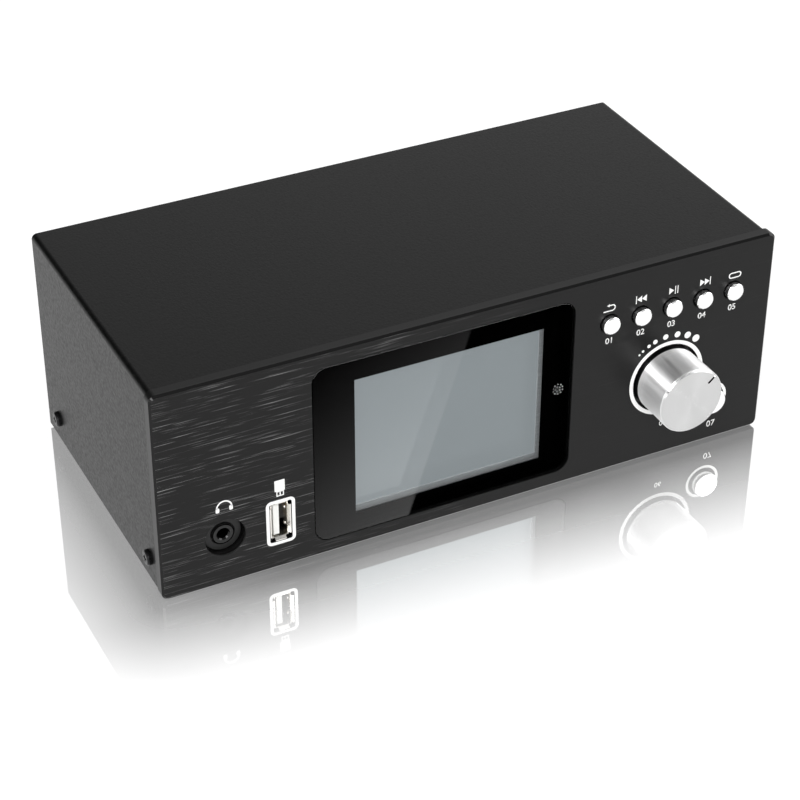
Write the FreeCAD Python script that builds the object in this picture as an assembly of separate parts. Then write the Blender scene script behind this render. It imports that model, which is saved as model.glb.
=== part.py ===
"""Desktop digital music player with a colour display, a volume knob and push buttons.

The frame has +X to the right, +Y to the back and +Z up, with its origin on the desk, below the
middle of the whole object. All sizes are in millimetres. A depth is measured back from the face
of the front panel, and a height is measured up from the panel's lower edge.
"""
import FreeCAD, Part
import math
import os

os.makedirs("parts", exist_ok=True)

# Driving dimensions: case
panel_width = 215.0
panel_height = 74.7
panel_thick = 4.0
panel_corner = 2.5
panel_edge = 0.7
panel_lift = 0.4
case_depth = 105.7
cover_inset = 0.8
cover_sheet = 1.2
cover_bend = 1.8
tray_sheet = 1.2
tray_bend = 1.6
side_flange_height = 14.0
corner_relief = 3.0
front_plate_sheet = 1.2
rear_panel_sheet = 1.2
rear_recess = 0.7
sheet_slip = 0.1
foot_height = 1.4
foot_radius = 6.0
foot_edge = 0.3
foot_from_side = 19.5
foot_from_front = 16.0
foot_from_rear = 14.0

# Screws
screw_radius = 1.45
screw_hole_radius = 1.5
screw_clear_radius = 1.7
screw_head_radius = 2.6
screw_head_height = 1.5
screw_head_edge = 0.5
cover_screw_length = 5.0
cover_screw_height = 8.8
cover_screw_front_depth = 12.1
cover_screw_from_rear = 10.6
panel_screw_bite = 2.4
panel_screw_from_side = 9.5
panel_screw_low = 5.5
panel_screw_from_top = 7.2
screw_hole_spare = 0.4
rear_screw_spacing = 92.0
rear_screw_height = 4.6
rear_screw_length = 4.0

# Display
window_width = 90.4
window_height = 64.3
window_x = -11.3
window_height_above = 37.15
window_corner = 5.0
window_gap = 0.2
window_ledge = 2.5
lens_edge = 0.2
lens_thick = 1.5
mask_thick = 0.15
screen_width = 64.8
screen_height = 48.6
screen_x = -9.35
screen_height_above = 36.5
screen_depth = 4.9
bezel_sheet = 0.3
bezel_border_left = 9.3
bezel_border_right = 3.0
bezel_border_end = 3.0
bezel_clearance = 0.5
bezel_lip = 0.7
bezel_depth = 3.6
cell_thick = 1.4
guide_thick = 2.2
ribbon_thick = 0.3
display_ribbon_width = 20.0
display_ribbon_out = 2.6
display_ribbon_bend = 1.0
receiver_gap = 1.3
receiver_height_above = 36.4
receiver_width = 4.4
receiver_tall = 6.0
receiver_thick = 3.0
receiver_dome_radius = 1.8

# Buttons
button_radius = 3.05
button_proud = 2.1
button_pitch = 11.5
button_count = 5
button_height_above = 57.2
button_gap = 0.3
button_edge = 0.3
hole_edge = 0.2
button_travel = 0.5
power_radius = 4.5
power_proud = 3.0
power_x = 87.3
power_height_above = 16.6
flange_overhang = 1.1
flange_thick = 0.8
flange_rest_gap = 0.2
stem_radius = 1.6
stem_length = 1.0
switch_size = 6.0
switch_thick = 3.5
plunger_radius = 1.75
plunger_clearance = 0.1
plunger_hidden = 1.3
plunger_spare = 0.3

# Volume knob and encoder
knob_x = 69.44
knob_height_above = 30.07
knob_radius = 11.6
knob_draft = 0.15
knob_proud = 15.5
knob_edge = 0.7
knob_base_gap = 0.5
knob_skin = 2.0
knob_wall = 2.6
knob_hollow_radius = 7.2
knob_hollow_spare = 0.4
knob_end_wall = 1.5
knob_travel = 0.5
groove_from_rim = 0.5
groove_length = 3.3
groove_angle = 42.0
groove_width = 0.8
groove_deep = 0.35
pocket_gap = 0.9
pocket_deep = 2.5
bush_radius = 3.5
bush_clearance = 0.1
bush_proud = 1.5
washer_radius = 6.0
washer_thick = 0.5
nut_across_flats = 10.0
nut_thick = 2.0
shaft_radius = 3.0
shaft_clearance = 0.05
shaft_flat = 1.5
shaft_bore_spare = 0.3
encoder_width = 12.0
encoder_tall = 13.0
encoder_thick = 6.8
encoder_wall = 1.2
rotor_radius = 4.4
rotor_thick = 2.6
rotor_gap = 0.2
click_radius = 1.5
click_clearance = 0.06
encoder_back_wall = 0.4

# Sockets on the front
socket_height_above = 17.45
usb_x = -67.8
usb_side_gap = 0.25
usb_end_gap = 0.15
usb_cut_corner = 0.8
usb_width = 5.7
usb_height = 13.1
usb_length = 14.0
usb_wall = 0.35
usb_lip_out = 0.65
usb_lip_length = 1.0
usb_lip_set_in = 0.15
usb_side_lip = 10.9
usb_end_lip = 3.6
usb_spring_radius = 0.75
usb_spring_proud = 0.55
usb_spring_depth = 3.0
usb_spring_from_middle = 3.05
usb_plate_gap = 0.3
tongue_thick = 1.9
tongue_end_gap = 0.6
tongue_offset = -0.95
tongue_set_in = 1.6
tongue_root_length = 4.5
contact_width = 1.0
contact_thick = 0.2
contact_set_in = 0.6
contact_outer_z = 3.5
contact_inner_z = 1.0
contact_crown_radius = 0.9
contact_crown_proud = 0.35
contact_crown_back = 1.0
jack_x = -86.1
jack_hole_radius = 6.55
jack_nose_radius = 3.65
jack_nose_depth = 2.0
jack_nose_gap = 0.25
jack_flange_radius = 6.0
jack_flange_depth = 2.6
jack_groove_width = 0.4
jack_groove_floor = 0.4
jack_bore_radius = 1.8
jack_mouth_radius = 2.25
jack_body_width = 12.0
jack_body_length = 14.0
jack_body_above = 5.4
spring_width = 1.6
spring_thick = 0.3
spring_length = 3.5
spring_pitch = 4.0
spring_first = 2.0
spring_turns = (0, 180, 90)
jack_back_wall = 0.3

# Boards
board_thick = 1.6
control_side_gap = 2.4
control_top_gap = 3.6
control_over_main = 1.1
spacer_radius = 2.5
spacer_gap = 1.2
spacer_from_side = 3.5
spacer_from_low_edge = 6.0
spacer_from_top_edge = 20.0
board_screw_length = 5.0
main_side_gap = 7.4
main_front_gap = 0.9
main_rear_gap = 0.8
main_tongue_spare = 8.8
main_tongue_gap = 0.4
board_over_flange = 0.3
standoff_across_flats = 5.5
standoff_from_side = 8.0
standoff_front_depth = 24.0
standoff_from_rear = 17.8
main_screw_length = 5.5
cable_width = 16.0
cable_x = -20.0
cable_height_above = 34.0
cable_reach = 6.0
cable_bend = 2.5

# Rear sockets
phono_xs = (-82.0, -64.0, -42.0)
phono_above_board = 10.7
phono_radius = 4.15
phono_root_step = 0.25
phono_bore = 3.4
phono_proud = 9.0
phono_edge = 0.4
phono_hidden = 2.8
phono_gap = 0.15
phono_contact_radius = 1.6
phono_insulator_back = 1.0
phono_insulator_floor = 1.0
phono_body_side = 8.0
phono_body_top = 8.0
phono_body_length = 9.8
inlet_x = 84.0
inlet_width = 9.0
inlet_tall = 11.0
inlet_length = 14.0
inlet_nose_radius = 4.0
inlet_bore_radius = 3.1
inlet_bore_length = 9.5
inlet_pin_radius = 1.0
inlet_pin_short = 1.0
inlet_gap = 0.2

# Parts on the main board, with the distance of their middle from the rear panel
capacitor_places = ((20.0, 25.8), (32.0, 25.8), (44.0, 25.8), (-60.0, 21.8), (-60.0, 33.8))
capacitor_radius = 4.0
capacitor_tall = 12.0
capacitor_edge = 0.6
chip_list = (
    (-10.0, 50.0, 14.0, 14.0),
    (14.0, 50.0, 10.0, 12.0),
    (-40.0, 60.0, 7.0, 7.0),
    (-70.0, 50.0, 5.0, 6.0),
)
chip_tall = 1.2
heatsink_x = 64.0
heatsink_from_rear = 43.8
heatsink_width = 24.0
heatsink_length = 20.0
heatsink_tall = 14.0
heatsink_base = 2.5
heatsink_fins = 6
heatsink_fin = 1.4

# How far a cutting shape runs past what it cuts, and how near counts as the same place
margin = 1.0
same_place = 0.001

# Worked-out places, as depths behind the panel's face
rear_face_depth = case_depth - rear_recess
overall_depth = knob_proud + rear_face_depth + phono_proud
tray_front_depth = panel_thick + front_plate_sheet
tray_rear_depth = rear_face_depth - rear_panel_sheet
control_depth = tray_front_depth + encoder_thick
knob_base_depth = pocket_deep - knob_travel - knob_base_gap
shaft_in_knob = knob_proud - knob_skin - knob_end_wall
rotor_front_depth = tray_front_depth + encoder_wall + rotor_gap
shaft_rear_depth = rotor_front_depth + rotor_thick + rotor_gap

# Worked-out places in the object's frame
front_y = knob_proud - overall_depth / 2
panel_half = panel_width / 2
cover_half = panel_half - cover_inset
cover_top = panel_lift + panel_height - cover_inset
cover_low = panel_lift + cover_inset
inside_half = cover_half - cover_sheet - sheet_slip
inside_top = cover_top - cover_sheet - sheet_slip
tray_floor = foot_height + tray_sheet
socket_z = panel_lift + socket_height_above
main_top = socket_z - usb_height / 2
main_low = main_top - board_thick
end_flange_top = main_low - board_over_flange
phono_z = main_top + phono_above_board
inlet_z = main_top + inlet_tall / 2
pocket_radius = knob_radius + pocket_gap
main_half_width = inside_half - main_side_gap
main_tongue_right = usb_x + main_tongue_spare
screen_z = panel_lift + screen_height_above
display_left = screen_x - screen_width / 2 - bezel_border_left
display_right = screen_x + screen_width / 2 + bezel_border_right
display_low = screen_z - screen_height / 2 - bezel_border_end
display_high = screen_z + screen_height / 2 + bezel_border_end
spacer_left = display_left - display_ribbon_out - ribbon_thick / 2 - spacer_gap - spacer_radius
control_left = spacer_left - spacer_from_side
control_right = inside_half - control_side_gap
control_low = main_top + control_over_main
control_high = inside_top - control_top_gap


def behind(depth):
    """Y of a place this far behind the face of the front panel."""
    return front_y + depth


def above(height):
    """Z of a place this far above the lower edge of the front panel."""
    return panel_lift + height


def block(x_low, x_high, y_low, y_high, z_low, z_high):
    corner = FreeCAD.Vector(x_low, y_low, z_low)
    return Part.makeBox(x_high - x_low, y_high - y_low, z_high - z_low, corner)


def rod(x, z, y_low, y_high, radius):
    """A cylinder that lies along Y."""
    return Part.makeCylinder(radius, y_high - y_low, FreeCAD.Vector(x, y_low, z), FreeCAD.Vector(0, 1, 0))


def post(x, y, z_low, z_high, radius):
    """A cylinder that stands along Z."""
    return Part.makeCylinder(radius, z_high - z_low, FreeCAD.Vector(x, y, z_low), FreeCAD.Vector(0, 0, 1))


def edges_along(shape, direction):
    """The straight edges of a shape that run along one axis."""
    found = []
    for edge in shape.Edges:
        if len(edge.Vertexes) < 2:
            continue
        run = edge.Vertexes[1].Point - edge.Vertexes[0].Point
        if abs(run.getAngle(direction)) < same_place or abs(run.getAngle(direction) - math.pi) < same_place:
            found.append(edge)
    return found


def plate(x_low, x_high, z_low, z_high, y_low, y_high, corner):
    """An upright plate with four rounded corners."""
    slab = block(x_low, x_high, y_low, y_high, z_low, z_high)
    return slab.makeFillet(corner, edges_along(slab, FreeCAD.Vector(0, 1, 0)))


def plate_about(x, z, width, height, y_low, y_high, corner):
    """An upright rounded plate, given by its middle."""
    half_width = width / 2
    half_height = height / 2
    return plate(x - half_width, x + half_width, z - half_height, z + half_height, y_low, y_high, corner)


def turned(outline, x, z):
    """A solid turned about an axis along Y, from (radius, y) corners."""
    corners = [FreeCAD.Vector(radius, y, 0) for radius, y in outline]
    corners.append(corners[0])
    face = Part.Face(Part.makePolygon(corners))
    solid = face.revolve(FreeCAD.Vector(0, 0, 0), FreeCAD.Vector(0, 1, 0), 360)
    solid.translate(FreeCAD.Vector(x, 0, z))
    return solid


def hexagon(across_flats):
    """The corners of a hexagon about the origin, with the first one again at the end."""
    corner_radius = across_flats / 2 / math.cos(math.pi / 6)
    turns = [step * math.pi / 3 for step in range(7)]
    return [(corner_radius * math.cos(turn), corner_radius * math.sin(turn)) for turn in turns]


def strip(path, width_low, width_high, thick, bend, plane):
    """A thin folded strip: path corners in one plane, rounded bends, width along the third axis."""
    half = thick / 2
    edges = []
    here = path[0]
    for index in range(1, len(path) - 1):
        corner = path[index]
        back = unit(corner, path[index - 1])
        ahead = unit(corner, path[index + 1])
        start = (corner[0] + back[0] * bend, corner[1] + back[1] * bend)
        end = (corner[0] + ahead[0] * bend, corner[1] + ahead[1] * bend)
        edges.append((here, start, None))
        centre = (start[0] + ahead[0] * bend, start[1] + ahead[1] * bend)
        edges.append((start, end, centre))
        here = end
    edges.append((here, path[-1], None))
    body = None
    for start, end, centre in edges:
        piece = straight_run(start, end, half) if centre is None else bent_run(start, end, centre, half)
        prism = lift(piece, width_low, width_high, plane)
        body = prism if body is None else body.fuse(prism)
    return body.removeSplitter()


def unit(start, end):
    length = math.hypot(end[0] - start[0], end[1] - start[1])
    return ((end[0] - start[0]) / length, (end[1] - start[1]) / length)


def straight_run(start, end, half):
    along = unit(start, end)
    side = (-along[1] * half, along[0] * half)
    return [[(start[0] + side[0], start[1] + side[1]), (end[0] + side[0], end[1] + side[1]),
             (end[0] - side[0], end[1] - side[1]), (start[0] - side[0], start[1] - side[1])]]


def bent_run(start, end, centre, half):
    """A quarter ring between two ends, as its inner and outer radius about the centre."""
    radius = math.hypot(start[0] - centre[0], start[1] - centre[1])
    return [radius - half, radius + half, centre, start, end]


def lift(piece, width_low, width_high, plane):
    """Turns a flat outline in the named plane into a prism of the given width."""
    def point(flat):
        if plane == "XY":
            return FreeCAD.Vector(flat[0], flat[1], width_low)
        return FreeCAD.Vector(width_low, flat[0], flat[1])

    sweep = FreeCAD.Vector(0, 0, width_high - width_low)
    if plane == "YZ":
        sweep = FreeCAD.Vector(width_high - width_low, 0, 0)
    if len(piece) == 1:
        corners = [point(flat) for flat in piece[0]]
        corners.append(corners[0])
        return Part.Face(Part.makePolygon(corners)).extrude(sweep)
    inner, outer, centre, start, end = piece
    first = unit(centre, start)
    last = unit(centre, end)
    middle = unit((0, 0), (first[0] + last[0], first[1] + last[1]))

    def at(direction, radius):
        return point((centre[0] + direction[0] * radius, centre[1] + direction[1] * radius))

    wire = Part.Wire([
        Part.Arc(at(first, outer), at(middle, outer), at(last, outer)).toShape(),
        Part.makeLine(at(last, outer), at(last, inner)),
        Part.Arc(at(last, inner), at(middle, inner), at(first, inner)).toShape(),
        Part.makeLine(at(first, inner), at(first, outer)),
    ])
    return Part.Face(wire).extrude(sweep)


def pan_screw(length):
    """A pan head screw along -Y, its head's underside at the origin."""
    rim = screw_head_radius - screw_head_edge
    return turned([(0, -length), (screw_radius, -length), (screw_radius, 0), (screw_head_radius, 0),
                   (screw_head_radius, screw_head_height - screw_head_edge), (rim, screw_head_height),
                   (0, screw_head_height)], 0, 0)


def screw_at(place, outward, length):
    """A screw whose head seats at a place and points outward."""
    screw = pan_screw(length)
    turn = FreeCAD.Rotation(FreeCAD.Vector(0, 1, 0), outward)
    screw.Placement = FreeCAD.Placement(place, turn)
    return screw


def export(shape, node):
    shape.exportStep("parts/" + node + ".step")


def cut_all(shape, tools):
    return shape.cut(Part.makeCompound(tools)) if tools else shape


def button_centres():
    """X of each small button: the middle one stands above the knob."""
    middle = (button_count - 1) / 2
    return [knob_x + (index - middle) * button_pitch for index in range(button_count)]


def panel_screw_places():
    """X and height of the four screws that hold the front panel."""
    side = panel_half - panel_screw_from_side
    high = panel_height - panel_screw_from_top
    return [(x, height) for x in (-side, side) for height in (panel_screw_low, high)]


def cover_screw_depths():
    return (cover_screw_front_depth, case_depth - cover_screw_from_rear)


def make_front_panel():
    """Aluminium plate with the window pocket, the knob pocket and the holes for all controls."""
    face = behind(0)
    back = behind(panel_thick)
    slab = plate(-panel_half, panel_half, panel_lift, panel_lift + panel_height, face, back, panel_corner)
    front_rim = [edge for edge in slab.Edges if abs(edge.CenterOfMass.y - face) < same_place]
    slab = slab.makeChamfer(panel_edge, front_rim)
    beyond = back + margin
    pocket_back = face + lens_thick + mask_thick
    tools = [
        plate_about(window_x, above(window_height_above), window_width, window_height,
                    face - margin, pocket_back, window_corner),
        window_opening(pocket_back, beyond),
        eased_hole(knob_x, above(knob_height_above), face + pocket_deep, pocket_radius),
        rod(knob_x, above(knob_height_above), face, beyond, bush_radius + bush_clearance),
        eased_hole(power_x, above(power_height_above), beyond, power_radius + button_gap),
        plate_about(usb_x, socket_z, usb_width + 2 * (usb_lip_out + usb_side_gap),
                    usb_height + 2 * (usb_lip_out + usb_end_gap), face - margin, beyond, usb_cut_corner),
        eased_hole(jack_x, socket_z, beyond, jack_hole_radius),
    ]
    for x in button_centres():
        tools.append(eased_hole(x, above(button_height_above), beyond, button_radius + button_gap))
    hole_bottom = back - panel_screw_bite - screw_hole_spare
    for x, height in panel_screw_places():
        tools.append(rod(x, above(height), hole_bottom, beyond, screw_hole_radius))
    export(cut_all(slab, tools), "front_panel")


def eased_hole(x, z, y_high, radius):
    """The shape cut for a round hole in the panel's face, with its sharp edge taken off."""
    face = behind(0)
    hole = rod(x, z, face - margin, y_high, radius)
    middle = FreeCAD.Vector(x, face, z)
    return hole.fuse(Part.makeCone(radius + hole_edge, radius, hole_edge, middle, FreeCAD.Vector(0, 1, 0)))


def window_opening(y_low, y_high):
    """The opening behind the window that leaves a ledge for the lens to lie on."""
    return plate_about(window_x, above(window_height_above), window_width - 2 * window_ledge,
                       window_height - 2 * window_ledge, y_low, y_high, window_corner - window_ledge)


def display_clearance(y_low, y_high):
    """The room round the display's bezel, cut from the sheets beside it."""
    return block(display_left - bezel_clearance, display_right + bezel_clearance, y_low, y_high,
                 display_low - bezel_clearance, display_high + bezel_clearance)


def crossways(radius, depth):
    """The shape cut for the two cover screws at that depth, right through the case."""
    length = 2 * (cover_half + margin)
    start = FreeCAD.Vector(-length / 2, behind(depth), above(cover_screw_height))
    return Part.makeCylinder(radius, length, start, FreeCAD.Vector(1, 0, 0))


def make_top_cover():
    """One sheet folded into an inverted U, with two screw holes low on each side."""
    along_y = FreeCAD.Vector(0, 1, 0)
    half_way = (cover_low + cover_top) / 2
    front = behind(panel_thick)
    rear = behind(case_depth)
    outer = block(-cover_half, cover_half, front, rear, cover_low, cover_top)
    folds = [edge for edge in edges_along(outer, along_y) if edge.CenterOfMass.z > half_way]
    outer = outer.makeFillet(cover_bend, folds)
    inner_half = cover_half - cover_sheet
    inner = block(-inner_half, inner_half, front - margin, rear + margin,
                  cover_low - margin, cover_top - cover_sheet)
    folds = [edge for edge in edges_along(inner, along_y) if edge.CenterOfMass.z > half_way]
    inner = inner.makeFillet(cover_bend - cover_sheet, folds)
    holes = []
    for depth in cover_screw_depths():
        holes.append(crossways(screw_clear_radius, depth))
    export(cut_all(outer.cut(inner), holes), "top_cover")


def make_chassis_tray():
    """Folded steel tray: floor, two side flanges and a low flange at each end."""
    front = behind(tray_front_depth)
    rear = behind(tray_rear_depth)
    top = foot_height + side_flange_height
    outer = block(-inside_half, inside_half, front, rear, foot_height, top)
    low_edges = [edge for edge in outer.Edges if edge.CenterOfMass.z < foot_height + same_place]
    outer = outer.makeFillet(tray_bend, low_edges)
    inner_half = inside_half - tray_sheet
    inner = block(-inner_half, inner_half, front + tray_sheet, rear - tray_sheet, tray_floor, top + margin)
    inner_bend = tray_bend - tray_sheet
    low_edges = [edge for edge in inner.Edges if edge.CenterOfMass.z < tray_floor + same_place]
    inner = inner.makeFillet(inner_bend, low_edges)
    tray = outer.cut(inner)
    tools = [display_clearance(front - margin, front + tray_sheet)]
    for y_low, y_high in ((front - margin, front + tray_sheet), (rear - tray_sheet, rear + margin)):
        tools.append(block(-inside_half - margin, inside_half + margin, y_low, y_high,
                           end_flange_top, top + margin))
        for side in (-1, 1):
            x = side * inside_half
            tools.append(block(x - corner_relief, x + corner_relief, y_low, y_high,
                               foot_height + tray_bend, end_flange_top + margin))
    for depth in cover_screw_depths():
        tools.append(crossways(screw_hole_radius, depth))
    for x, height in panel_screw_places():
        if above(height) < end_flange_top:
            tools.append(rod(x, above(height), front - margin, front + tray_sheet + margin,
                             screw_clear_radius))
    for x in rear_screw_xs():
        tools.append(rod(x, above(rear_screw_height), rear - tray_sheet - margin, rear + margin,
                         screw_hole_radius))
    export(cut_all(tray, tools), "chassis_tray")


def rear_screw_xs():
    return (-rear_screw_spacing, 0.0, rear_screw_spacing)


def make_front_plate():
    """Black steel plate behind the front panel, which carries the encoder and the control board."""
    front = behind(panel_thick)
    back = behind(tray_front_depth)
    slab = plate(-inside_half, inside_half, foot_height, inside_top, front, back, cover_bend)
    tools = [
        window_opening(front - margin, back + margin),
        display_clearance(front - margin, back + margin),
        rod(knob_x, above(knob_height_above), front - margin, back + margin, bush_radius + bush_clearance),
        rod(power_x, above(power_height_above), front - margin, back + margin, flange_hole(power_radius)),
        plate_about(usb_x, socket_z, usb_width + 2 * usb_plate_gap, usb_height + 2 * usb_plate_gap,
                    front - margin, back + margin, usb_cut_corner),
        rod(jack_x, socket_z, front - margin, back + margin, jack_nose_radius + jack_nose_gap),
    ]
    for x in button_centres():
        tools.append(rod(x, above(button_height_above), front - margin, back + margin,
                         flange_hole(button_radius)))
    for x, height in panel_screw_places():
        tools.append(rod(x, above(height), front - margin, back + margin, screw_clear_radius))
    export(cut_all(slab, tools), "front_plate")


def flange_hole(radius):
    """Radius of the hole in the front plate that a button's flange moves in."""
    return radius + flange_overhang + button_gap


def make_rear_panel():
    """Steel plate with the holes for the phono sockets, the inlet and its screws."""
    front = behind(tray_rear_depth)
    back = behind(rear_face_depth)
    slab = plate(-inside_half, inside_half, foot_height, inside_top, front, back, cover_bend)
    tools = [rod(x, phono_z, front - margin, back + margin, phono_radius + phono_gap) for x in phono_xs]
    tools.append(rod(inlet_x, inlet_z, front - margin, back + margin, inlet_nose_radius + inlet_gap))
    for x in rear_screw_xs():
        tools.append(rod(x, above(rear_screw_height), front - margin, back + margin, screw_clear_radius))
    export(cut_all(slab, tools), "rear_panel")


def make_case_screws():
    """Pan head screws that hold the cover, the front panel and the rear panel."""
    cover_screws = []
    for side in (-1, 1):
        for depth in cover_screw_depths():
            place = FreeCAD.Vector(side * cover_half, behind(depth), above(cover_screw_height))
            cover_screws.append(screw_at(place, FreeCAD.Vector(side, 0, 0), cover_screw_length))
    export(Part.makeCompound(cover_screws), "cover_screws")
    panel_screws = []
    for x, height in panel_screw_places():
        low = above(height) < end_flange_top
        seat = tray_front_depth + (tray_sheet if low else 0.0)
        place = FreeCAD.Vector(x, behind(seat), above(height))
        length = seat - panel_thick + panel_screw_bite
        panel_screws.append(screw_at(place, FreeCAD.Vector(0, 1, 0), length))
    export(Part.makeCompound(panel_screws), "panel_screws")
    rear_screws = []
    for x in rear_screw_xs():
        place = FreeCAD.Vector(x, behind(rear_face_depth), above(rear_screw_height))
        rear_screws.append(screw_at(place, FreeCAD.Vector(0, 1, 0), rear_screw_length))
    export(Part.makeCompound(rear_screws), "rear_screws")


def make_rubber_feet():
    """Four low round pads stuck under the tray."""
    feet = []
    side = panel_half - foot_from_side
    for x in (-side, side):
        for depth in (foot_from_front, case_depth - foot_from_rear):
            pad = post(x, behind(depth), 0.0, foot_height, foot_radius)
            low_rim = [edge for edge in pad.Edges if edge.BoundBox.ZMax < same_place]
            feet.append(pad.makeChamfer(foot_edge, low_rim))
    export(Part.makeCompound(feet), "rubber_feet")


def make_window():
    """Glass pane that lies flush in its pocket, and the black printed film behind it."""
    face = behind(0)
    width = window_width - 2 * window_gap
    height = window_height - 2 * window_gap
    corner = window_corner - window_gap
    z = above(window_height_above)
    lens_back = face + lens_thick
    lens = plate_about(window_x, z, width, height, face, lens_back, corner)
    front_rim = [edge for edge in lens.Edges if abs(edge.CenterOfMass.y - face) < same_place]
    export(lens.makeChamfer(lens_edge, front_rim), "display_window")
    film = plate_about(window_x, z, width, height, lens_back, lens_back + mask_thick, corner)
    export(film.cut(screen_block(0.0, lens_back - margin, lens_back + margin)), "display_mask")


def screen_block(border, y_low, y_high):
    """A block with the outline of the screen, larger all round by a border."""
    half_width = screen_width / 2 + border
    half_height = screen_height / 2 + border
    return block(screen_x - half_width, screen_x + half_width, y_low, y_high,
                 screen_z - half_height, screen_z + half_height)


def make_display():
    """Steel bezel, glass cell and light guide, on a foam pad against the control board."""
    bezel_front = behind(screen_depth - bezel_sheet)
    cell_front = behind(screen_depth)
    cell_back = cell_front + cell_thick
    guide_back = cell_back + guide_thick
    outer = block(display_left, display_right, bezel_front, bezel_front + bezel_depth,
                  display_low, display_high)
    inner = (display_left + bezel_sheet, display_right - bezel_sheet, display_low + bezel_sheet,
             display_high - bezel_sheet)
    hollow = block(inner[0], inner[1], cell_front, bezel_front + bezel_depth + margin,
                   inner[2], inner[3])
    lip = screen_block(bezel_lip, bezel_front - margin, cell_front + margin)
    export(outer.cut(hollow).cut(lip), "display_bezel")
    export(block(inner[0], inner[1], cell_front, cell_back, inner[2], inner[3]), "display_cell")
    export(block(inner[0], inner[1], cell_back, guide_back, inner[2], inner[3]), "display_light_guide")
    pad = block(inner[0] + bezel_border_end, inner[1] - bezel_border_end, guide_back, behind(control_depth),
                inner[2] + bezel_border_end, inner[3] - bezel_border_end)
    export(pad, "display_pad")
    ribbon_y = bezel_front + bezel_depth / 2
    fold_x = display_left - display_ribbon_out
    path = [(display_left, ribbon_y), (fold_x, ribbon_y), (fold_x, behind(control_depth))]
    ribbon = strip(path, screen_z - display_ribbon_width / 2, screen_z + display_ribbon_width / 2,
                   ribbon_thick, display_ribbon_bend, "XY")
    export(ribbon, "display_ribbon")


def make_receiver():
    """Remote control receiver with a round lens, on the control board."""
    back = behind(control_depth)
    front = back - receiver_thick
    z = above(receiver_height_above)
    receiver_x = display_right + receiver_gap + receiver_width / 2
    body = block(receiver_x - receiver_width / 2, receiver_x + receiver_width / 2, front, back,
                 z - receiver_tall / 2, z + receiver_tall / 2)
    dome = Part.makeSphere(receiver_dome_radius, FreeCAD.Vector(receiver_x, front, z))
    export(body.fuse(dome), "remote_receiver")


def make_button(name, plunger_name, x, height, radius, proud):
    """A turned push button with a retaining flange and a stem, and the switch plunger behind it."""
    front = behind(-proud)
    flange_front = behind(panel_thick + flange_rest_gap)
    flange_back = flange_front + flange_thick
    stem_end = flange_back + stem_length
    flange_radius = radius + flange_overhang
    outline = [(0, front), (radius - button_edge, front), (radius, front + button_edge),
               (radius, flange_front), (flange_radius, flange_front), (flange_radius, flange_back),
               (stem_radius, flange_back), (stem_radius, stem_end), (0, stem_end)]
    export(turned(outline, x, above(height)), name)
    plunger_end = behind(control_depth - switch_thick) + plunger_hidden
    export(rod(x, above(height), stem_end, plunger_end, plunger_radius), plunger_name)


def make_buttons():
    for index, x in enumerate(button_centres()):
        number = str(index + 1)
        make_button("button_" + number, "switch_plunger_" + number, x, button_height_above,
                    button_radius, button_proud)
    make_button("power_button", "power_plunger", power_x, power_height_above, power_radius, power_proud)
    back = behind(control_depth)
    front = back - switch_thick
    hole_end = front + plunger_hidden + button_travel + plunger_spare
    places = [(x, button_height_above) for x in button_centres()]
    places.append((power_x, power_height_above))
    bodies = []
    half = switch_size / 2
    for x, height in places:
        z = above(height)
        body = block(x - half, x + half, front, back, z - half, z + half)
        bodies.append(body.cut(rod(x, z, front - margin, hole_end, plunger_radius + plunger_clearance)))
    export(Part.makeCompound(bodies), "tact_switches")


def make_knob():
    """Turned aluminium shell with a chamfer and a pointer groove, on a moulded core."""
    x = knob_x
    z = above(knob_height_above)
    front = behind(-knob_proud)
    base = behind(knob_base_depth)
    inner_radius = knob_radius - knob_wall
    base_radius = knob_radius - knob_draft
    shell = turned([(0, front), (knob_radius - knob_edge, front), (knob_radius, front + knob_edge),
                    (base_radius, base), (inner_radius, base), (inner_radius, front + knob_skin),
                    (0, front + knob_skin)], x, z)
    groove_outer = knob_radius - groove_from_rim
    groove = block(groove_outer - groove_length, groove_outer, front - margin, front + groove_deep,
                   -groove_width / 2, groove_width / 2)
    groove.rotate(FreeCAD.Vector(0, 0, 0), FreeCAD.Vector(0, -1, 0), groove_angle)
    groove.translate(FreeCAD.Vector(x, 0, z))
    export(shell.cut(groove), "volume_knob")
    hollow_end = behind(-bush_proud - knob_travel - knob_hollow_spare)
    core_front = front + knob_skin
    bore_end = behind(-shaft_in_knob) - shaft_bore_spare
    core = turned([(0, core_front), (inner_radius, core_front), (inner_radius, base),
                   (knob_hollow_radius, base), (knob_hollow_radius, hollow_end), (0, hollow_end)], x, z)
    export(core.cut(d_rod(bore_end, hollow_end + margin, shaft_radius)), "knob_core")
    shaft = d_rod(behind(-shaft_in_knob), behind(shaft_rear_depth), shaft_radius)
    export(shaft, "encoder_shaft")


def d_rod(y_low, y_high, radius):
    """A rod on the knob's axis with the flat that turns the knob."""
    z = above(knob_height_above)
    whole = rod(knob_x, z, y_low, y_high, radius)
    flat_z = z + radius - shaft_flat
    flat_end = behind(-bush_proud - knob_travel)
    return whole.cut(block(knob_x - 2 * radius, knob_x + 2 * radius, y_low - margin, flat_end,
                           flat_z, flat_z + 2 * radius))


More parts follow.
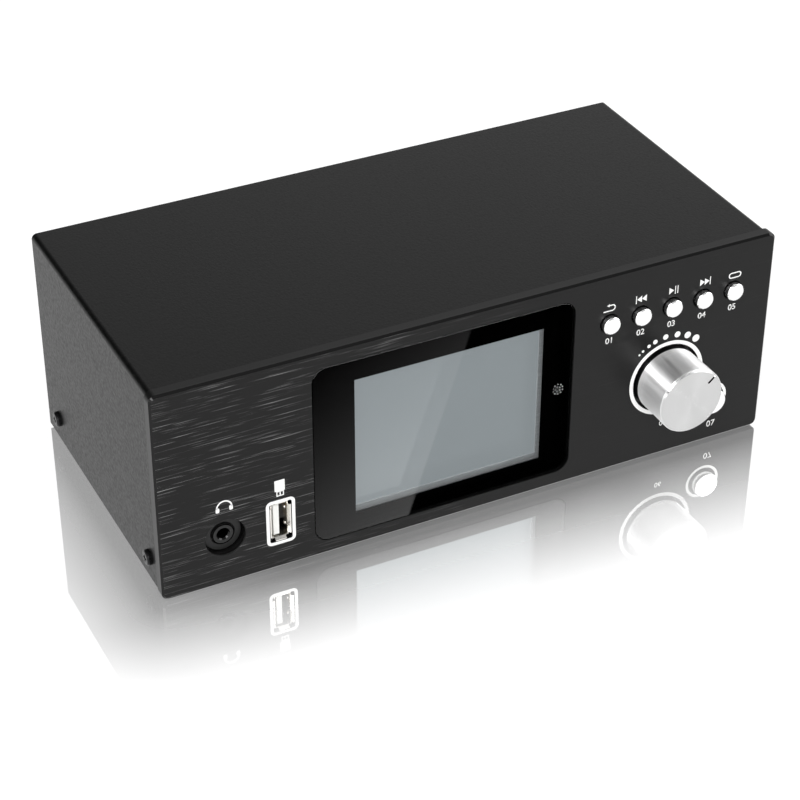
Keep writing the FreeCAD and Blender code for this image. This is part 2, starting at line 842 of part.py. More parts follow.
def make_encoder():
    """Rotary encoder with a push switch: body, threaded bush, nut, washer, rotor and click plunger."""
    x = knob_x
    z = above(knob_height_above)
    front = behind(tray_front_depth)
    back = behind(control_depth)
    half = encoder_width / 2
    chamber_end = behind(shaft_rear_depth) + knob_travel + rotor_gap
    click_end = back - encoder_back_wall - knob_travel - rotor_gap
    body = block(x - half, x + half, front, back, z - encoder_tall / 2, z + encoder_tall / 2)
    tools = [
        rod(x, z, front - margin, front + encoder_wall, shaft_radius + shaft_clearance),
        rod(x, z, front + encoder_wall, chamber_end, rotor_radius + rotor_gap),
        rod(x, z, chamber_end, click_end + knob_travel + rotor_gap, click_radius + click_clearance),
    ]
    export(cut_all(body, tools), "encoder_body")
    shaft_hole = rod(x, z, behind(-bush_proud) - margin, back, shaft_radius + shaft_clearance)
    bush = rod(x, z, behind(-bush_proud), front, bush_radius)
    export(bush.cut(shaft_hole), "encoder_bush")
    floor = behind(pocket_deep)
    washer = rod(x, z, floor - washer_thick, floor, washer_radius)
    thread_hole = rod(x, z, behind(-bush_proud), floor + margin, bush_radius + bush_clearance)
    export(washer.cut(thread_hole), "encoder_washer")
    nut_back = floor - washer_thick
    corners = [FreeCAD.Vector(x + u, nut_back - nut_thick, z + v) for u, v in hexagon(nut_across_flats)]
    nut = Part.Face(Part.makePolygon(corners)).extrude(FreeCAD.Vector(0, nut_thick, 0))
    export(nut.cut(thread_hole), "encoder_nut")
    rotor_y = behind(rotor_front_depth)
    rotor = rod(x, z, rotor_y, rotor_y + rotor_thick, rotor_radius)
    export(rotor.cut(shaft_hole), "encoder_rotor")
    export(rod(x, z, behind(shaft_rear_depth), click_end, click_radius), "click_plunger")


def make_usb_socket():
    """USB-A socket on edge: flared steel shell with spring bumps, tongue and four gold contacts."""
    front = behind(usb_lip_set_in)
    flare_end = front + usb_lip_length
    back = front + usb_length
    half_width = usb_width / 2
    half_height = usb_height / 2
    tube = block(usb_x - half_width, usb_x + half_width, flare_end, back,
                 socket_z - half_height, socket_z + half_height)
    flare = frustum(half_width + usb_lip_out, half_height + usb_lip_out, half_width, half_height,
                    front, flare_end)
    inside = block(usb_x - half_width + usb_wall, usb_x + half_width - usb_wall, flare_end, back - usb_wall,
                   socket_z - half_height + usb_wall, socket_z + half_height - usb_wall)
    inner_flare = frustum(half_width + usb_lip_out - usb_wall, half_height + usb_lip_out - usb_wall,
                          half_width - usb_wall, half_height - usb_wall, front, flare_end)
    shell = tube.fuse(flare).cut(inside).cut(inner_flare)
    corners = []
    for side in (-1, 1):
        for end in (-1, 1):
            x_from = usb_x + side * usb_end_lip / 2
            x_to = usb_x + side * (half_width + usb_lip_out + margin)
            z_from = socket_z + end * usb_side_lip / 2
            z_to = socket_z + end * (half_height + usb_lip_out + margin)
            corners.append(block(min(x_from, x_to), max(x_from, x_to), front - margin, flare_end,
                                 min(z_from, z_to), max(z_from, z_to)))
    shell = cut_all(shell, corners).removeSplitter()
    spring_x = usb_x + half_width - usb_wall - usb_spring_proud + usb_spring_radius
    for end in (-1, 1):
        middle = FreeCAD.Vector(spring_x, behind(usb_spring_depth), socket_z + end * usb_spring_from_middle)
        shell = shell.fuse(Part.makeSphere(usb_spring_radius, middle).common(inside))
    export(shell, "usb_shell")
    tongue_front = behind(tongue_set_in)
    root_front = back - usb_wall - tongue_root_length
    tongue_x = usb_x + tongue_offset
    root = block(usb_x - half_width + usb_wall, usb_x + half_width - usb_wall, root_front, back - usb_wall,
                 socket_z - half_height + usb_wall, socket_z + half_height - usb_wall)
    tongue_half = half_height - usb_wall - tongue_end_gap
    tongue = block(tongue_x - tongue_thick / 2, tongue_x + tongue_thick / 2, tongue_front, root_front,
                   socket_z - tongue_half, socket_z + tongue_half)
    export(root.fuse(tongue).removeSplitter(), "usb_tongue")
    contacts = []
    contact_low_x = tongue_x + tongue_thick / 2
    contact_high_x = contact_low_x + contact_thick
    contact_front = tongue_front + contact_set_in
    crown_x = contact_high_x + contact_crown_proud - contact_crown_radius
    crown_y = contact_front + contact_crown_back
    for from_middle in (-contact_outer_z, -contact_inner_z, contact_inner_z, contact_outer_z):
        low = socket_z + from_middle - contact_width / 2
        high = low + contact_width
        strip_flat = block(contact_low_x, contact_high_x, contact_front, root_front, low, high)
        crown = post(crown_x, crown_y, low, high, contact_crown_radius)
        above_tongue = block(contact_low_x, contact_low_x + contact_crown_radius, contact_front, root_front,
                             low, high)
        contacts.append(strip_flat.fuse(crown.common(above_tongue)).removeSplitter())
    export(Part.makeCompound(contacts), "usb_contacts")


def frustum(front_half_width, front_half_height, back_half_width, back_half_height, y_low, y_high):
    """A rectangular frustum about the socket's axis."""
    rings = []
    for half_width, half_height, y in ((front_half_width, front_half_height, y_low),
                                       (back_half_width, back_half_height, y_high)):
        corners = [FreeCAD.Vector(usb_x - half_width, y, socket_z - half_height),
                   FreeCAD.Vector(usb_x + half_width, y, socket_z - half_height),
                   FreeCAD.Vector(usb_x + half_width, y, socket_z + half_height),
                   FreeCAD.Vector(usb_x - half_width, y, socket_z + half_height)]
        corners.append(corners[0])
        rings.append(Part.makePolygon(corners))
    return Part.makeLoft(rings, True, True)


def make_headphone_socket():
    """3.5 mm socket: body on the main board, nose with a flange on the front plate, and springs."""
    nose_front = behind(jack_nose_depth)
    flange_front = behind(jack_flange_depth)
    flange_back = behind(panel_thick)
    groove_bottom = flange_back - jack_groove_floor
    groove_radius = jack_nose_radius + jack_groove_width
    body_front = behind(tray_front_depth)
    body_back = body_front + jack_body_length
    chamfer = jack_mouth_radius - jack_bore_radius
    nose = turned([(jack_mouth_radius, nose_front), (jack_nose_radius, nose_front),
                   (jack_nose_radius, groove_bottom), (groove_radius, groove_bottom),
                   (groove_radius, flange_front), (jack_flange_radius, flange_front),
                   (jack_flange_radius, flange_back), (jack_nose_radius, flange_back),
                   (jack_nose_radius, body_front), (jack_bore_radius, body_front),
                   (jack_bore_radius, nose_front + chamfer)], jack_x, socket_z)
    export(nose, "headphone_nose")
    half = jack_body_width / 2
    body = block(jack_x - half, jack_x + half, body_front, body_back, main_top, socket_z + jack_body_above)
    bore = rod(jack_x, socket_z, body_front - margin, body_back - jack_back_wall, jack_bore_radius)
    springs = []
    slots = []
    for index, angle in enumerate(spring_turns):
        start = body_front + spring_first + index * spring_pitch
        end = start + spring_length
        outer = jack_bore_radius + spring_thick
        spring = block(jack_bore_radius, outer, start, end, -spring_width / 2, spring_width / 2)
        slot = block(0, outer, start, end, -spring_width / 2, spring_width / 2)
        for piece in (spring, slot):
            piece.rotate(FreeCAD.Vector(0, 0, 0), FreeCAD.Vector(0, 1, 0), angle)
            piece.translate(FreeCAD.Vector(jack_x, 0, socket_z))
        springs.append(spring)
        slots.append(slot)
    export(cut_all(body, [bore] + slots), "headphone_body")
    export(Part.makeCompound(springs), "headphone_springs")


def make_control_board():
    """Upright board behind the front plate, on four spacers with screws from behind."""
    front = behind(control_depth)
    back = front + board_thick
    board = block(control_left, control_right, front, back, control_low, control_high)
    places = [(x, z) for x in (spacer_left, control_right - spacer_from_side)
              for z in (control_low + spacer_from_low_edge, control_high - spacer_from_top_edge)]
    tools = [rod(x, z, front - margin, back + margin, screw_clear_radius) for x, z in places]
    usb_half_width = usb_width / 2 + usb_plate_gap
    usb_half_height = usb_height / 2 + usb_plate_gap
    tools.append(block(usb_x - usb_half_width, usb_x + usb_half_width, front - margin, back + margin,
                       socket_z - usb_half_height, socket_z + usb_half_height))
    export(cut_all(board, tools), "control_board")
    spacers = []
    screws = []
    for x, z in places:
        base = behind(tray_front_depth)
        sleeve = rod(x, z, base, front, spacer_radius)
        spacers.append(sleeve.cut(rod(x, z, base + tray_sheet, front + margin, screw_hole_radius)))
        screws.append(screw_at(FreeCAD.Vector(x, back, z), FreeCAD.Vector(0, 1, 0), board_screw_length))
    export(Part.makeCompound(spacers), "control_spacers")
    export(Part.makeCompound(screws), "control_screws")


def make_main_board():
    """Flat board on the tray's standoffs, with a tongue forward under the front sockets."""
    front = behind(control_depth + board_thick + main_front_gap)
    rear = behind(tray_rear_depth - main_rear_gap)
    board = block(-main_half_width, main_half_width, front, rear, main_low, main_top)
    tongue = block(-main_half_width, main_tongue_right, behind(tray_front_depth + main_tongue_gap), front,
                   main_low, main_top)
    side = main_half_width - standoff_from_side
    places = [(x, behind(depth)) for x in (-side, 0.0, side)
              for depth in (standoff_front_depth, tray_rear_depth - standoff_from_rear)]
    holes = [post(x, y, main_low - margin, main_top + margin, screw_clear_radius) for x, y in places]
    export(cut_all(board.fuse(tongue).removeSplitter(), holes), "main_board")
    standoffs = []
    screws = []
    for x, y in places:
        corners = [FreeCAD.Vector(x + u, y + v, tray_floor) for u, v in hexagon(standoff_across_flats)]
        column = Part.Face(Part.makePolygon(corners)).extrude(FreeCAD.Vector(0, 0, main_low - tray_floor))
        thread = post(x, y, tray_floor + tray_sheet, main_low + margin, screw_hole_radius)
        standoffs.append(column.cut(thread))
        screws.append(screw_at(FreeCAD.Vector(x, y, main_top), FreeCAD.Vector(0, 0, 1), main_screw_length))
    export(Part.makeCompound(standoffs), "board_standoffs")
    export(Part.makeCompound(screws), "board_screws")


def make_board_parts():
    """Capacitors, chips, a finned heatsink and the flat cable between the boards."""
    cans = []
    for x, from_rear in capacitor_places:
        y = behind(tray_rear_depth - from_rear)
        can = post(x, y, main_top, main_top + capacitor_tall, capacitor_radius)
        top_rim = [edge for edge in can.Edges if edge.BoundBox.ZMin > main_top + capacitor_edge]
        cans.append(can.makeChamfer(capacitor_edge, top_rim))
    export(Part.makeCompound(cans), "capacitors")
    chips = []
    for x, depth, width, length in chip_list:
        y = behind(depth)
        chips.append(block(x - width / 2, x + width / 2, y - length / 2, y + length / 2,
                           main_top, main_top + chip_tall))
    export(Part.makeCompound(chips), "board_chips")
    y_low = behind(tray_rear_depth - heatsink_from_rear)
    left = heatsink_x - heatsink_width / 2
    y_high = y_low + heatsink_length
    sink = block(left, left + heatsink_width, y_low, y_high, main_top, main_top + heatsink_base)
    pitch = (heatsink_width - heatsink_fin) / (heatsink_fins - 1)
    for index in range(heatsink_fins):
        x = left + index * pitch
        sink = sink.fuse(block(x, x + heatsink_fin, y_low, y_high, main_top, main_top + heatsink_tall))
    export(sink.removeSplitter(), "heatsink")
    board_back = behind(control_depth + board_thick)
    height = above(cable_height_above)
    fold = board_back + cable_reach
    path = [(board_back, height), (fold, height), (fold, main_top)]
    cable = strip(path, cable_x - cable_width / 2, cable_x + cable_width / 2, ribbon_thick, cable_bend, "YZ")
    export(cable, "board_cable")


def make_phono_sockets():
    """Three phono sockets in one moulded body: plated barrels with plastic insulators."""
    panel_inside = behind(tray_rear_depth)
    outside = behind(rear_face_depth)
    tip = outside + phono_proud
    root = panel_inside - phono_hidden
    left = min(phono_xs) - phono_body_side
    right = max(phono_xs) + phono_body_side
    body = block(left, right, panel_inside - phono_body_length, panel_inside,
                 main_top, phono_z + phono_body_top)
    root_radius = phono_radius - phono_root_step
    body = cut_all(body, [rod(x, phono_z, root, panel_inside + margin, root_radius) for x in phono_xs])
    export(body, "phono_body")
    barrels = []
    insulators = []
    for x in phono_xs:
        barrels.append(turned([(phono_bore, root), (phono_radius - phono_root_step, root),
                               (phono_radius - phono_root_step, outside), (phono_radius, outside),
                               (phono_radius, tip - phono_edge),
                               (phono_radius - phono_edge, tip), (phono_bore, tip)], x, phono_z))
        core = rod(x, phono_z, root, tip - phono_insulator_back, phono_bore)
        contact_hole = rod(x, phono_z, root + phono_insulator_floor, tip + margin, phono_contact_radius)
        insulators.append(core.cut(contact_hole))
    export(Part.makeCompound(barrels), "phono_barrels")
    export(Part.makeCompound(insulators), "phono_insulators")


def make_power_inlet():
    """Barrel inlet for the mains adapter: moulded body with a round nose, and its centre pin."""
    panel_inside = behind(tray_rear_depth)
    outside = behind(rear_face_depth)
    z = inlet_z
    half = inlet_width / 2
    body = block(inlet_x - half, inlet_x + half, panel_inside - inlet_length, panel_inside, main_top,
                 main_top + inlet_tall)
    body = body.fuse(rod(inlet_x, z, panel_inside, outside, inlet_nose_radius))
    bore_bottom = outside - inlet_bore_length
    export(body.cut(rod(inlet_x, z, bore_bottom, outside + margin, inlet_bore_radius)), "power_inlet")
    export(rod(inlet_x, z, bore_bottom, outside - inlet_pin_short, inlet_pin_radius), "inlet_pin")


make_front_panel()
make_top_cover()
make_chassis_tray()
make_front_plate()
make_rear_panel()
make_case_screws()
make_rubber_feet()
make_window()
make_display()
make_receiver()
make_buttons()
make_knob()
make_encoder()
make_usb_socket()
make_headphone_socket()
make_control_board()
make_main_board()
make_board_parts()
make_phono_sockets()
make_power_inlet()
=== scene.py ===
import math

import bpy
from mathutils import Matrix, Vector


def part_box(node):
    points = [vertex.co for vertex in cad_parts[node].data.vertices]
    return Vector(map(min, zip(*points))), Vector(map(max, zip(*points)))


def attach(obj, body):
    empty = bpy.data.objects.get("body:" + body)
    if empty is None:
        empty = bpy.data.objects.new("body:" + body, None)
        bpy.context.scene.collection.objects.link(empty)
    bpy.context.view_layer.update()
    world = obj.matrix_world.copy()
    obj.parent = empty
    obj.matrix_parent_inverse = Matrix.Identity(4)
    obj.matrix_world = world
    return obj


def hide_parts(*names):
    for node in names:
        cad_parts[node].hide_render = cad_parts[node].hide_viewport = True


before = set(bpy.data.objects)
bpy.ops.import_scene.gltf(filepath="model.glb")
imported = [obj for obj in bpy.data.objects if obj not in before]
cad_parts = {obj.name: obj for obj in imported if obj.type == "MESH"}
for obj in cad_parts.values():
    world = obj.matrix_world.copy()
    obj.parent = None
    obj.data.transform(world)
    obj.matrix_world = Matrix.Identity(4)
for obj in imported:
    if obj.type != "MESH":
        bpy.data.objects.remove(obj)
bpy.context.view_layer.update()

# Sheet steel of the case
# The tray, the plate behind the front panel and the rear panel are folded from 1.2 mm steel sheet.
# The tray is bare zinc plated steel, and the two plates are powder coated black.
mm = 0.001
coat_black = (0.010, 0.010, 0.011)
zinc_grey = (0.52, 0.53, 0.55)


def link(material, source, target):
    """Joins an output of one shader node to an input of another."""
    material.node_tree.links.new(source, target)


def add_node(material, kind, **sockets):
    """Adds a shader node, with plain values for its named sockets."""
    node = material.node_tree.nodes.new(kind)
    for name, value in sockets.items():
        node.inputs[name.replace("_", " ")].default_value = value
    return node


def principled(material):
    """The surface shader of a material."""
    return material.node_tree.nodes["Principled BSDF"]


def new_finish(name, color, roughness, metallic=0.0, specular=0.5):
    """A material with the plain numbers of its surface shader set."""
    material = bpy.data.materials.new(name)
    material.use_nodes = True
    shader = principled(material)
    shader.inputs["Base Color"].default_value = (*color, 1.0)
    shader.inputs["Metallic"].default_value = metallic
    shader.inputs["Roughness"].default_value = roughness
    shader.inputs["Specular IOR Level"].default_value = specular
    return material


def glow(material, color, strength):
    """Lets a surface give off a little light of its own, for what lies behind the glass; on parts that
    are no lamp this is painted light.
    """
    shader = principled(material)
    shader.inputs["Emission Color"].default_value = (*color, 1.0)
    shader.inputs["Emission Strength"].default_value = strength


def counted(material, per_metre):
    """The piece's own coordinates, as a count per metre along each axis."""
    place = add_node(material, "ShaderNodeTexCoord")
    stretch = add_node(material, "ShaderNodeMapping", Scale=per_metre)
    link(material, place.outputs["Object"], stretch.inputs["Vector"])
    return stretch.outputs["Vector"]


def grain_on(material, per_metre, detail=3.0):
    """Noise with a count per metre along each axis."""
    noise = add_node(material, "ShaderNodeTexNoise", Scale=1.0, Detail=detail)
    link(material, counted(material, per_metre), noise.inputs["Vector"])
    return noise.outputs["Fac"]


def spread(material, source, low=0.0, high=1.0, start=0.3, end=0.7):
    """Turns the middle of a texture's range into values from low to high."""
    ramp = add_node(material, "ShaderNodeMapRange")
    ramp.inputs["From Min"].default_value = start
    ramp.inputs["From Max"].default_value = end
    ramp.inputs["To Min"].default_value = low
    ramp.inputs["To Max"].default_value = high
    link(material, source, ramp.inputs["Value"])
    return ramp.outputs["Result"]


def combine(material, operation, first, second=0.0):
    """One sum of two outputs, or of an output and a number."""
    sum_node = add_node(material, "ShaderNodeMath")
    sum_node.operation = operation
    link(material, first, sum_node.inputs[0])
    if isinstance(second, (int, float)):
        sum_node.inputs[1].default_value = second
    else:
        link(material, second, sum_node.inputs[1])
    return sum_node.outputs["Value"]


def own_axes(material, start=(0.0, 0.0, 0.0)):
    """The piece's own X, Y and Z, counted from a point."""
    place = add_node(material, "ShaderNodeTexCoord")
    shift = add_node(material, "ShaderNodeMapping", Location=[-value for value in start])
    split = add_node(material, "ShaderNodeSeparateXYZ")
    link(material, place.outputs["Object"], shift.inputs["Vector"])
    link(material, shift.outputs["Vector"], split.inputs["Vector"])
    return split.outputs


def from_axis(material, axes):
    """The distance from the line along Y through the starting point."""
    across = combine(material, "MULTIPLY", axes["X"], axes["X"])
    up = combine(material, "MULTIPLY", axes["Z"], axes["Z"])
    return combine(material, "SQRT", combine(material, "ADD", across, up))


def color_between(material, source, first, second):
    """Lets the base colour run from one colour to another as the source goes from 0 to 1."""
    mixer = add_node(material, "ShaderNodeMix")
    mixer.data_type = "RGBA"
    mixer.inputs[6].default_value = (*first, 1.0)
    mixer.inputs[7].default_value = (*second, 1.0)
    link(material, source, mixer.inputs["Factor"])
    link(material, mixer.outputs[2], principled(material).inputs["Base Color"])


def raise_grain(material, source, height, strength=1.0):
    """Gives the surface a relief of that height in metres."""
    bump = add_node(material, "ShaderNodeBump", Strength=strength, Distance=height)
    link(material, source, bump.inputs["Height"])
    link(material, bump.outputs["Normal"], principled(material).inputs["Normal"])


def worked_finish(name, color, roughness, size, relief, metallic=0.0, specular=0.5, wear=0.25):
    """A finish with an even grain: its colour, gloss and relief all vary a little over that size."""
    material = new_finish(name, color, roughness, metallic, specular)
    grain = grain_on(material, (1 / size,) * 3)
    patches = grain_on(material, (0.08 / size,) * 3, 2.0)
    lighter = tuple(min(1.0, channel * (1 + wear)) for channel in color)
    darker = tuple(channel * (1 - wear) for channel in color)
    color_between(material, spread(material, patches), darker, lighter)
    uneven = spread(material, grain, roughness * 0.85, min(1.0, roughness * 1.15))
    link(material, uneven, principled(material).inputs["Roughness"])
    raise_grain(material, grain, relief)
    return material


def dress(material, *names):
    """Gives CAD nodes a finish in each of their material slots."""
    for name in names:
        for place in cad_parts[name].material_slots:
            place.material = material


tray_steel = worked_finish("tray_steel", zinc_grey, metallic=1.0, roughness=0.38, size=0.6 * mm,
                           relief=0.004 * mm)
spangle = grain_on(tray_steel, (90.0, 90.0, 90.0), 0.0)
color_between(tray_steel, spread(tray_steel, spangle), (0.40, 0.41, 0.43), (0.62, 0.63, 0.65))
dress(tray_steel, "chassis_tray")

plate_black = worked_finish("plate_black", coat_black, roughness=0.55, specular=0.3, size=0.35 * mm,
                            relief=0.02 * mm)
dress(plate_black, "front_plate", "rear_panel")

# Rubber feet
# Four short moulded feet of black rubber, stuck under the tray near its corners.
# They hold the case just clear of the desk.
rubber_black = worked_finish("rubber_black", (0.014, 0.014, 0.014), roughness=0.75, specular=0.3,
                             size=0.5 * mm, relief=0.03 * mm)
dress(rubber_black, "rubber_feet")

# Main board and what is soldered to it
# Green fibreglass board on brass posts, with its chips, capacitors, heatsink and ribbon.
# Copper tracks show as slightly lighter lines under the green lacquer.
board_green = new_finish("board_green", (0.008, 0.075, 0.030), roughness=0.35)
tracks_per_metre = (260.0, 260.0, 260.0)
tracks = add_node(board_green, "ShaderNodeTexBrick", Scale=1.0)
tracks.inputs["Color1"].default_value = (0.0, 0.0, 0.0, 1.0)
tracks.inputs["Color2"].default_value = (0.15, 0.15, 0.15, 1.0)
tracks.inputs["Mortar"].default_value = (1.0, 1.0, 1.0, 1.0)
tracks.inputs["Mortar Size"].default_value = 0.04
link(board_green, counted(board_green, tracks_per_metre), tracks.inputs["Vector"])
color_between(board_green, tracks.outputs["Color"], (0.006, 0.060, 0.024), (0.020, 0.130, 0.050))
raise_grain(board_green, tracks.outputs["Color"], 0.03 * mm)
dress(board_green, "main_board", "control_board")

chip_black = worked_finish("chip_black", (0.012, 0.012, 0.013), roughness=0.6, specular=0.4,
                           size=0.2 * mm, relief=0.008 * mm)
dress(chip_black, "board_chips", "tact_switches", "phono_body", "encoder_body")

capacitor_sleeve = worked_finish("capacitor_sleeve", (0.015, 0.016, 0.022), roughness=0.3,
                                 size=1.0 * mm, relief=0.01 * mm)
dress(capacitor_sleeve, "capacitors")

heatsink_black = worked_finish("heatsink_black", (0.018, 0.018, 0.019), metallic=0.3, roughness=0.45,
                               specular=0.4, size=0.3 * mm, relief=0.01 * mm)
dress(heatsink_black, "heatsink")

ribbon_grey = new_finish("ribbon_grey", (0.34, 0.35, 0.36), roughness=0.5, specular=0.4)
wires = grain_on(ribbon_grey, (800.0, 20.0, 20.0), 0.0)
color_between(ribbon_grey, spread(ribbon_grey, wires), (0.26, 0.27, 0.28), (0.42, 0.43, 0.44))
raise_grain(ribbon_grey, wires, 0.2 * mm)
dress(ribbon_grey, "board_cable")

post_brass = worked_finish("post_brass", (0.60, 0.58, 0.52), metallic=1.0, roughness=0.3, size=0.3 * mm,
                           relief=0.004 * mm)
dress(post_brass, "board_standoffs", "control_spacers")

screw_zinc = worked_finish("screw_zinc", (0.58, 0.59, 0.60), metallic=1.0, roughness=0.3, size=0.4 * mm,
                           relief=0.005 * mm)
dress(screw_zinc, "board_screws", "control_screws", "panel_screws")

# Rear sockets
# Three phono sockets with gilded barrels in black insulators, and a moulded power inlet with its pin.
# They sit on the main board and look out through the rear panel.
phono_gold = worked_finish("phono_gold", (0.83, 0.60, 0.24), metallic=1.0, roughness=0.16,
                           size=0.5 * mm, relief=0.003 * mm, wear=0.08)
turning = grain_on(phono_gold, (60.0, 5200.0, 60.0), 1.0)
raise_grain(phono_gold, turning, 0.006 * mm)
dress(phono_gold, "phono_barrels")

insulator_black = worked_finish("insulator_black", (0.012, 0.012, 0.012), roughness=0.5, specular=0.4,
                                size=0.2 * mm, relief=0.01 * mm)
dress(insulator_black, "phono_insulators", "power_inlet")

contact_gold = worked_finish("contact_gold", (0.80, 0.58, 0.26), metallic=1.0, roughness=0.22,
                             size=0.3 * mm, relief=0.002 * mm, wear=0.1)
dress(contact_gold, "usb_contacts", "inlet_pin", "headphone_springs")

# Display module
# A liquid crystal cell with its grey polariser in a folded steel bezel, on an acrylic light guide.
# A foam pad holds it off its plate, an amber ribbon leads to the board, and the receiver of the
# remote control sits beside it.
screen_grey = new_finish("screen_grey", (0.060, 0.065, 0.070), roughness=0.0, specular=0.8)
principled(screen_grey).inputs["IOR"].default_value = 1.8
haze = grain_on(screen_grey, (22.0, 22.0, 22.0), 1.0)
color_between(screen_grey, spread(screen_grey, haze), (0.058, 0.063, 0.068), (0.062, 0.067, 0.072))
dots_fine = grain_on(screen_grey, (6000.0, 6000.0, 6000.0), 0.0)
raise_grain(screen_grey, dots_fine, 0.002 * mm, 0.3)
glow(screen_grey, (0.274, 0.298, 0.310), 1.0)
dress(screen_grey, "display_cell")

bezel_steel = new_finish("bezel_steel", (0.50, 0.51, 0.52), metallic=0.4, roughness=0.42)
rolling = grain_on(bezel_steel, (60.0, 60.0, 3000.0), 2.0)
color_between(bezel_steel, spread(bezel_steel, rolling), (0.42, 0.43, 0.44), (0.56, 0.57, 0.58))
raise_grain(bezel_steel, rolling, 0.004 * mm)
# Painted light: the steel bezel is no lamp, and its faint glow stands in for the screen's light falling
# on it.
glow(bezel_steel, (0.94, 0.97, 1.0), 0.09)
dress(bezel_steel, "display_bezel")

guide_white = worked_finish("guide_white", (0.78, 0.78, 0.77), roughness=0.25, size=0.8 * mm,
                            relief=0.004 * mm, wear=0.04)
dress(guide_white, "display_light_guide")

foam_grey = worked_finish("foam_grey", (0.06, 0.06, 0.065), roughness=0.95, specular=0.1, size=0.5 * mm,
                          relief=0.15 * mm)
dress(foam_grey, "display_pad")

ribbon_amber = worked_finish("ribbon_amber", (0.42, 0.17, 0.03), roughness=0.25, size=0.6 * mm,
                             relief=0.004 * mm)
dress(ribbon_amber, "display_ribbon")

receiver_black = worked_finish("receiver_black", (0.020, 0.008, 0.012), roughness=0.15, size=1.0 * mm,
                               relief=0.003 * mm)
dress(receiver_black, "remote_receiver")

# Mask behind the window
# A matt black sheet on the back of the glass, with round corners, which frames the screen.
# Its opening is cut here, a little lower and wider than the plain solid's, as the photo shows it.
mask_black = worked_finish("mask_black", (0.0006, 0.0006, 0.0006), roughness=0.7, specular=0.0,
                           size=0.4 * mm, relief=0.004 * mm)
mask_low, mask_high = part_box("display_mask")
mask_corner = 4.8 * mm
opening_left = -41.75 * mm
opening_right = 23.5 * mm
opening_bottom = 11.6 * mm
opening_top = 61.2 * mm


def deselect():
    """Leaves nothing selected, so that the next operator meets only the new piece."""
    bpy.ops.object.select_all(action="DESELECT")


def place_in_mesh(piece):
    """Moves a piece's place, turn and scale into its mesh."""
    deselect()
    piece.select_set(True)
    bpy.context.view_layer.objects.active = piece
    bpy.ops.object.transform_apply(location=True, rotation=True, scale=True)


def apply_modifier(piece, kind, **values):
    """Adds a modifier with these values and applies it."""
    modifier = piece.modifiers.new(kind.title(), kind)
    for name, value in values.items():
        setattr(modifier, name, value)
    bpy.context.view_layer.objects.active = piece
    bpy.ops.object.modifier_apply(modifier=modifier.name)


def block_between(low, high):
    """A block between two corners."""
    deselect()
    bpy.ops.mesh.primitive_cube_add(size=1.0, location=(low + high) / 2)
    block = bpy.context.object
    block.scale = high - low
    place_in_mesh(block)
    return block


def give_finish(piece, material):
    """Gives a new piece one finish."""
    piece.data.materials.clear()
    piece.data.materials.append(material)


def bevel_edges(piece, wanted, **values):
    """Bevels the edges whose two ends pass a test."""
    bpy.ops.object.mode_set(mode="EDIT")
    bpy.ops.mesh.select_mode(type="EDGE")
    bpy.ops.mesh.select_all(action="DESELECT")
    bpy.ops.object.mode_set(mode="OBJECT")
    for edge in piece.data.edges:
        ends = [piece.data.vertices[index].co for index in edge.vertices]
        edge.select = wanted(*ends)
    bpy.ops.object.mode_set(mode="EDIT")
    bpy.ops.mesh.bevel(**values)
    bpy.ops.mesh.select_mode(type="VERT")
    bpy.ops.object.mode_set(mode="OBJECT")


mask_sheet = block_between(mask_low, mask_high)
mask_sheet.name = "mask_sheet"
bevel_edges(mask_sheet, lambda first, last: abs(first.y - last.y) > (mask_high.y - mask_low.y) / 2,
            offset=mask_corner, segments=10)
opening_block = block_between(Vector((opening_left, mask_low.y - mm, opening_bottom)),
                              Vector((opening_right, mask_high.y + mm, opening_top)))
apply_modifier(mask_sheet, "BOOLEAN", operation="DIFFERENCE", object=opening_block, solver="EXACT")
bpy.data.objects.remove(opening_block)
give_finish(mask_sheet, mask_black)
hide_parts("display_mask")
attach(mask_sheet, "root")

# Window
# One pane of dark glass set flush in the panel. Only its polished front mirrors, so that the mask
# and the screen show through it.
window_glass = bpy.data.materials.new("window_glass")
window_glass.use_nodes = True
window_glass.node_tree.nodes.remove(principled(window_glass))
glass_through = add_node(window_glass, "ShaderNodeBsdfTransparent", Color=(0.93, 0.94, 0.94, 1.0))
glass_shine = add_node(window_glass, "ShaderNodeBsdfGlossy", Color=(1.0, 1.0, 1.0, 1.0), Roughness=0.0)
glass_gloss = add_node(window_glass, "ShaderNodeFresnel", IOR=1.8)
most_gloss = 0.30
front_ends = 0.2 * mm
glass_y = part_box("display_window")[0].y
glass_front = spread(window_glass, own_axes(window_glass)["Y"], 1.0, 0.0,
                     glass_y + front_ends / 2, glass_y + front_ends)
glass_share = combine(window_glass, "MINIMUM", glass_gloss.outputs["Fac"], most_gloss)
glass_share = combine(window_glass, "MULTIPLY", glass_share, glass_front)
glass_mix = add_node(window_glass, "ShaderNodeMixShader")
glass_smear = grain_on(window_glass, (40.0, 40.0, 90.0), 2.0)
glass_relief = add_node(window_glass, "ShaderNodeBump", Strength=0.15, Distance=0.001 * mm)
link(window_glass, glass_smear, glass_relief.inputs["Height"])
link(window_glass, glass_relief.outputs["Normal"], glass_shine.inputs["Normal"])
link(window_glass, glass_share, glass_mix.inputs["Fac"])
link(window_glass, glass_through.outputs["BSDF"], glass_mix.inputs[1])
link(window_glass, glass_shine.outputs["BSDF"], glass_mix.inputs[2])
glass_end = window_glass.node_tree.nodes["Material Output"]
link(window_glass, glass_mix.outputs["Shader"], glass_end.inputs["Surface"])
dress(window_glass, "display_window")

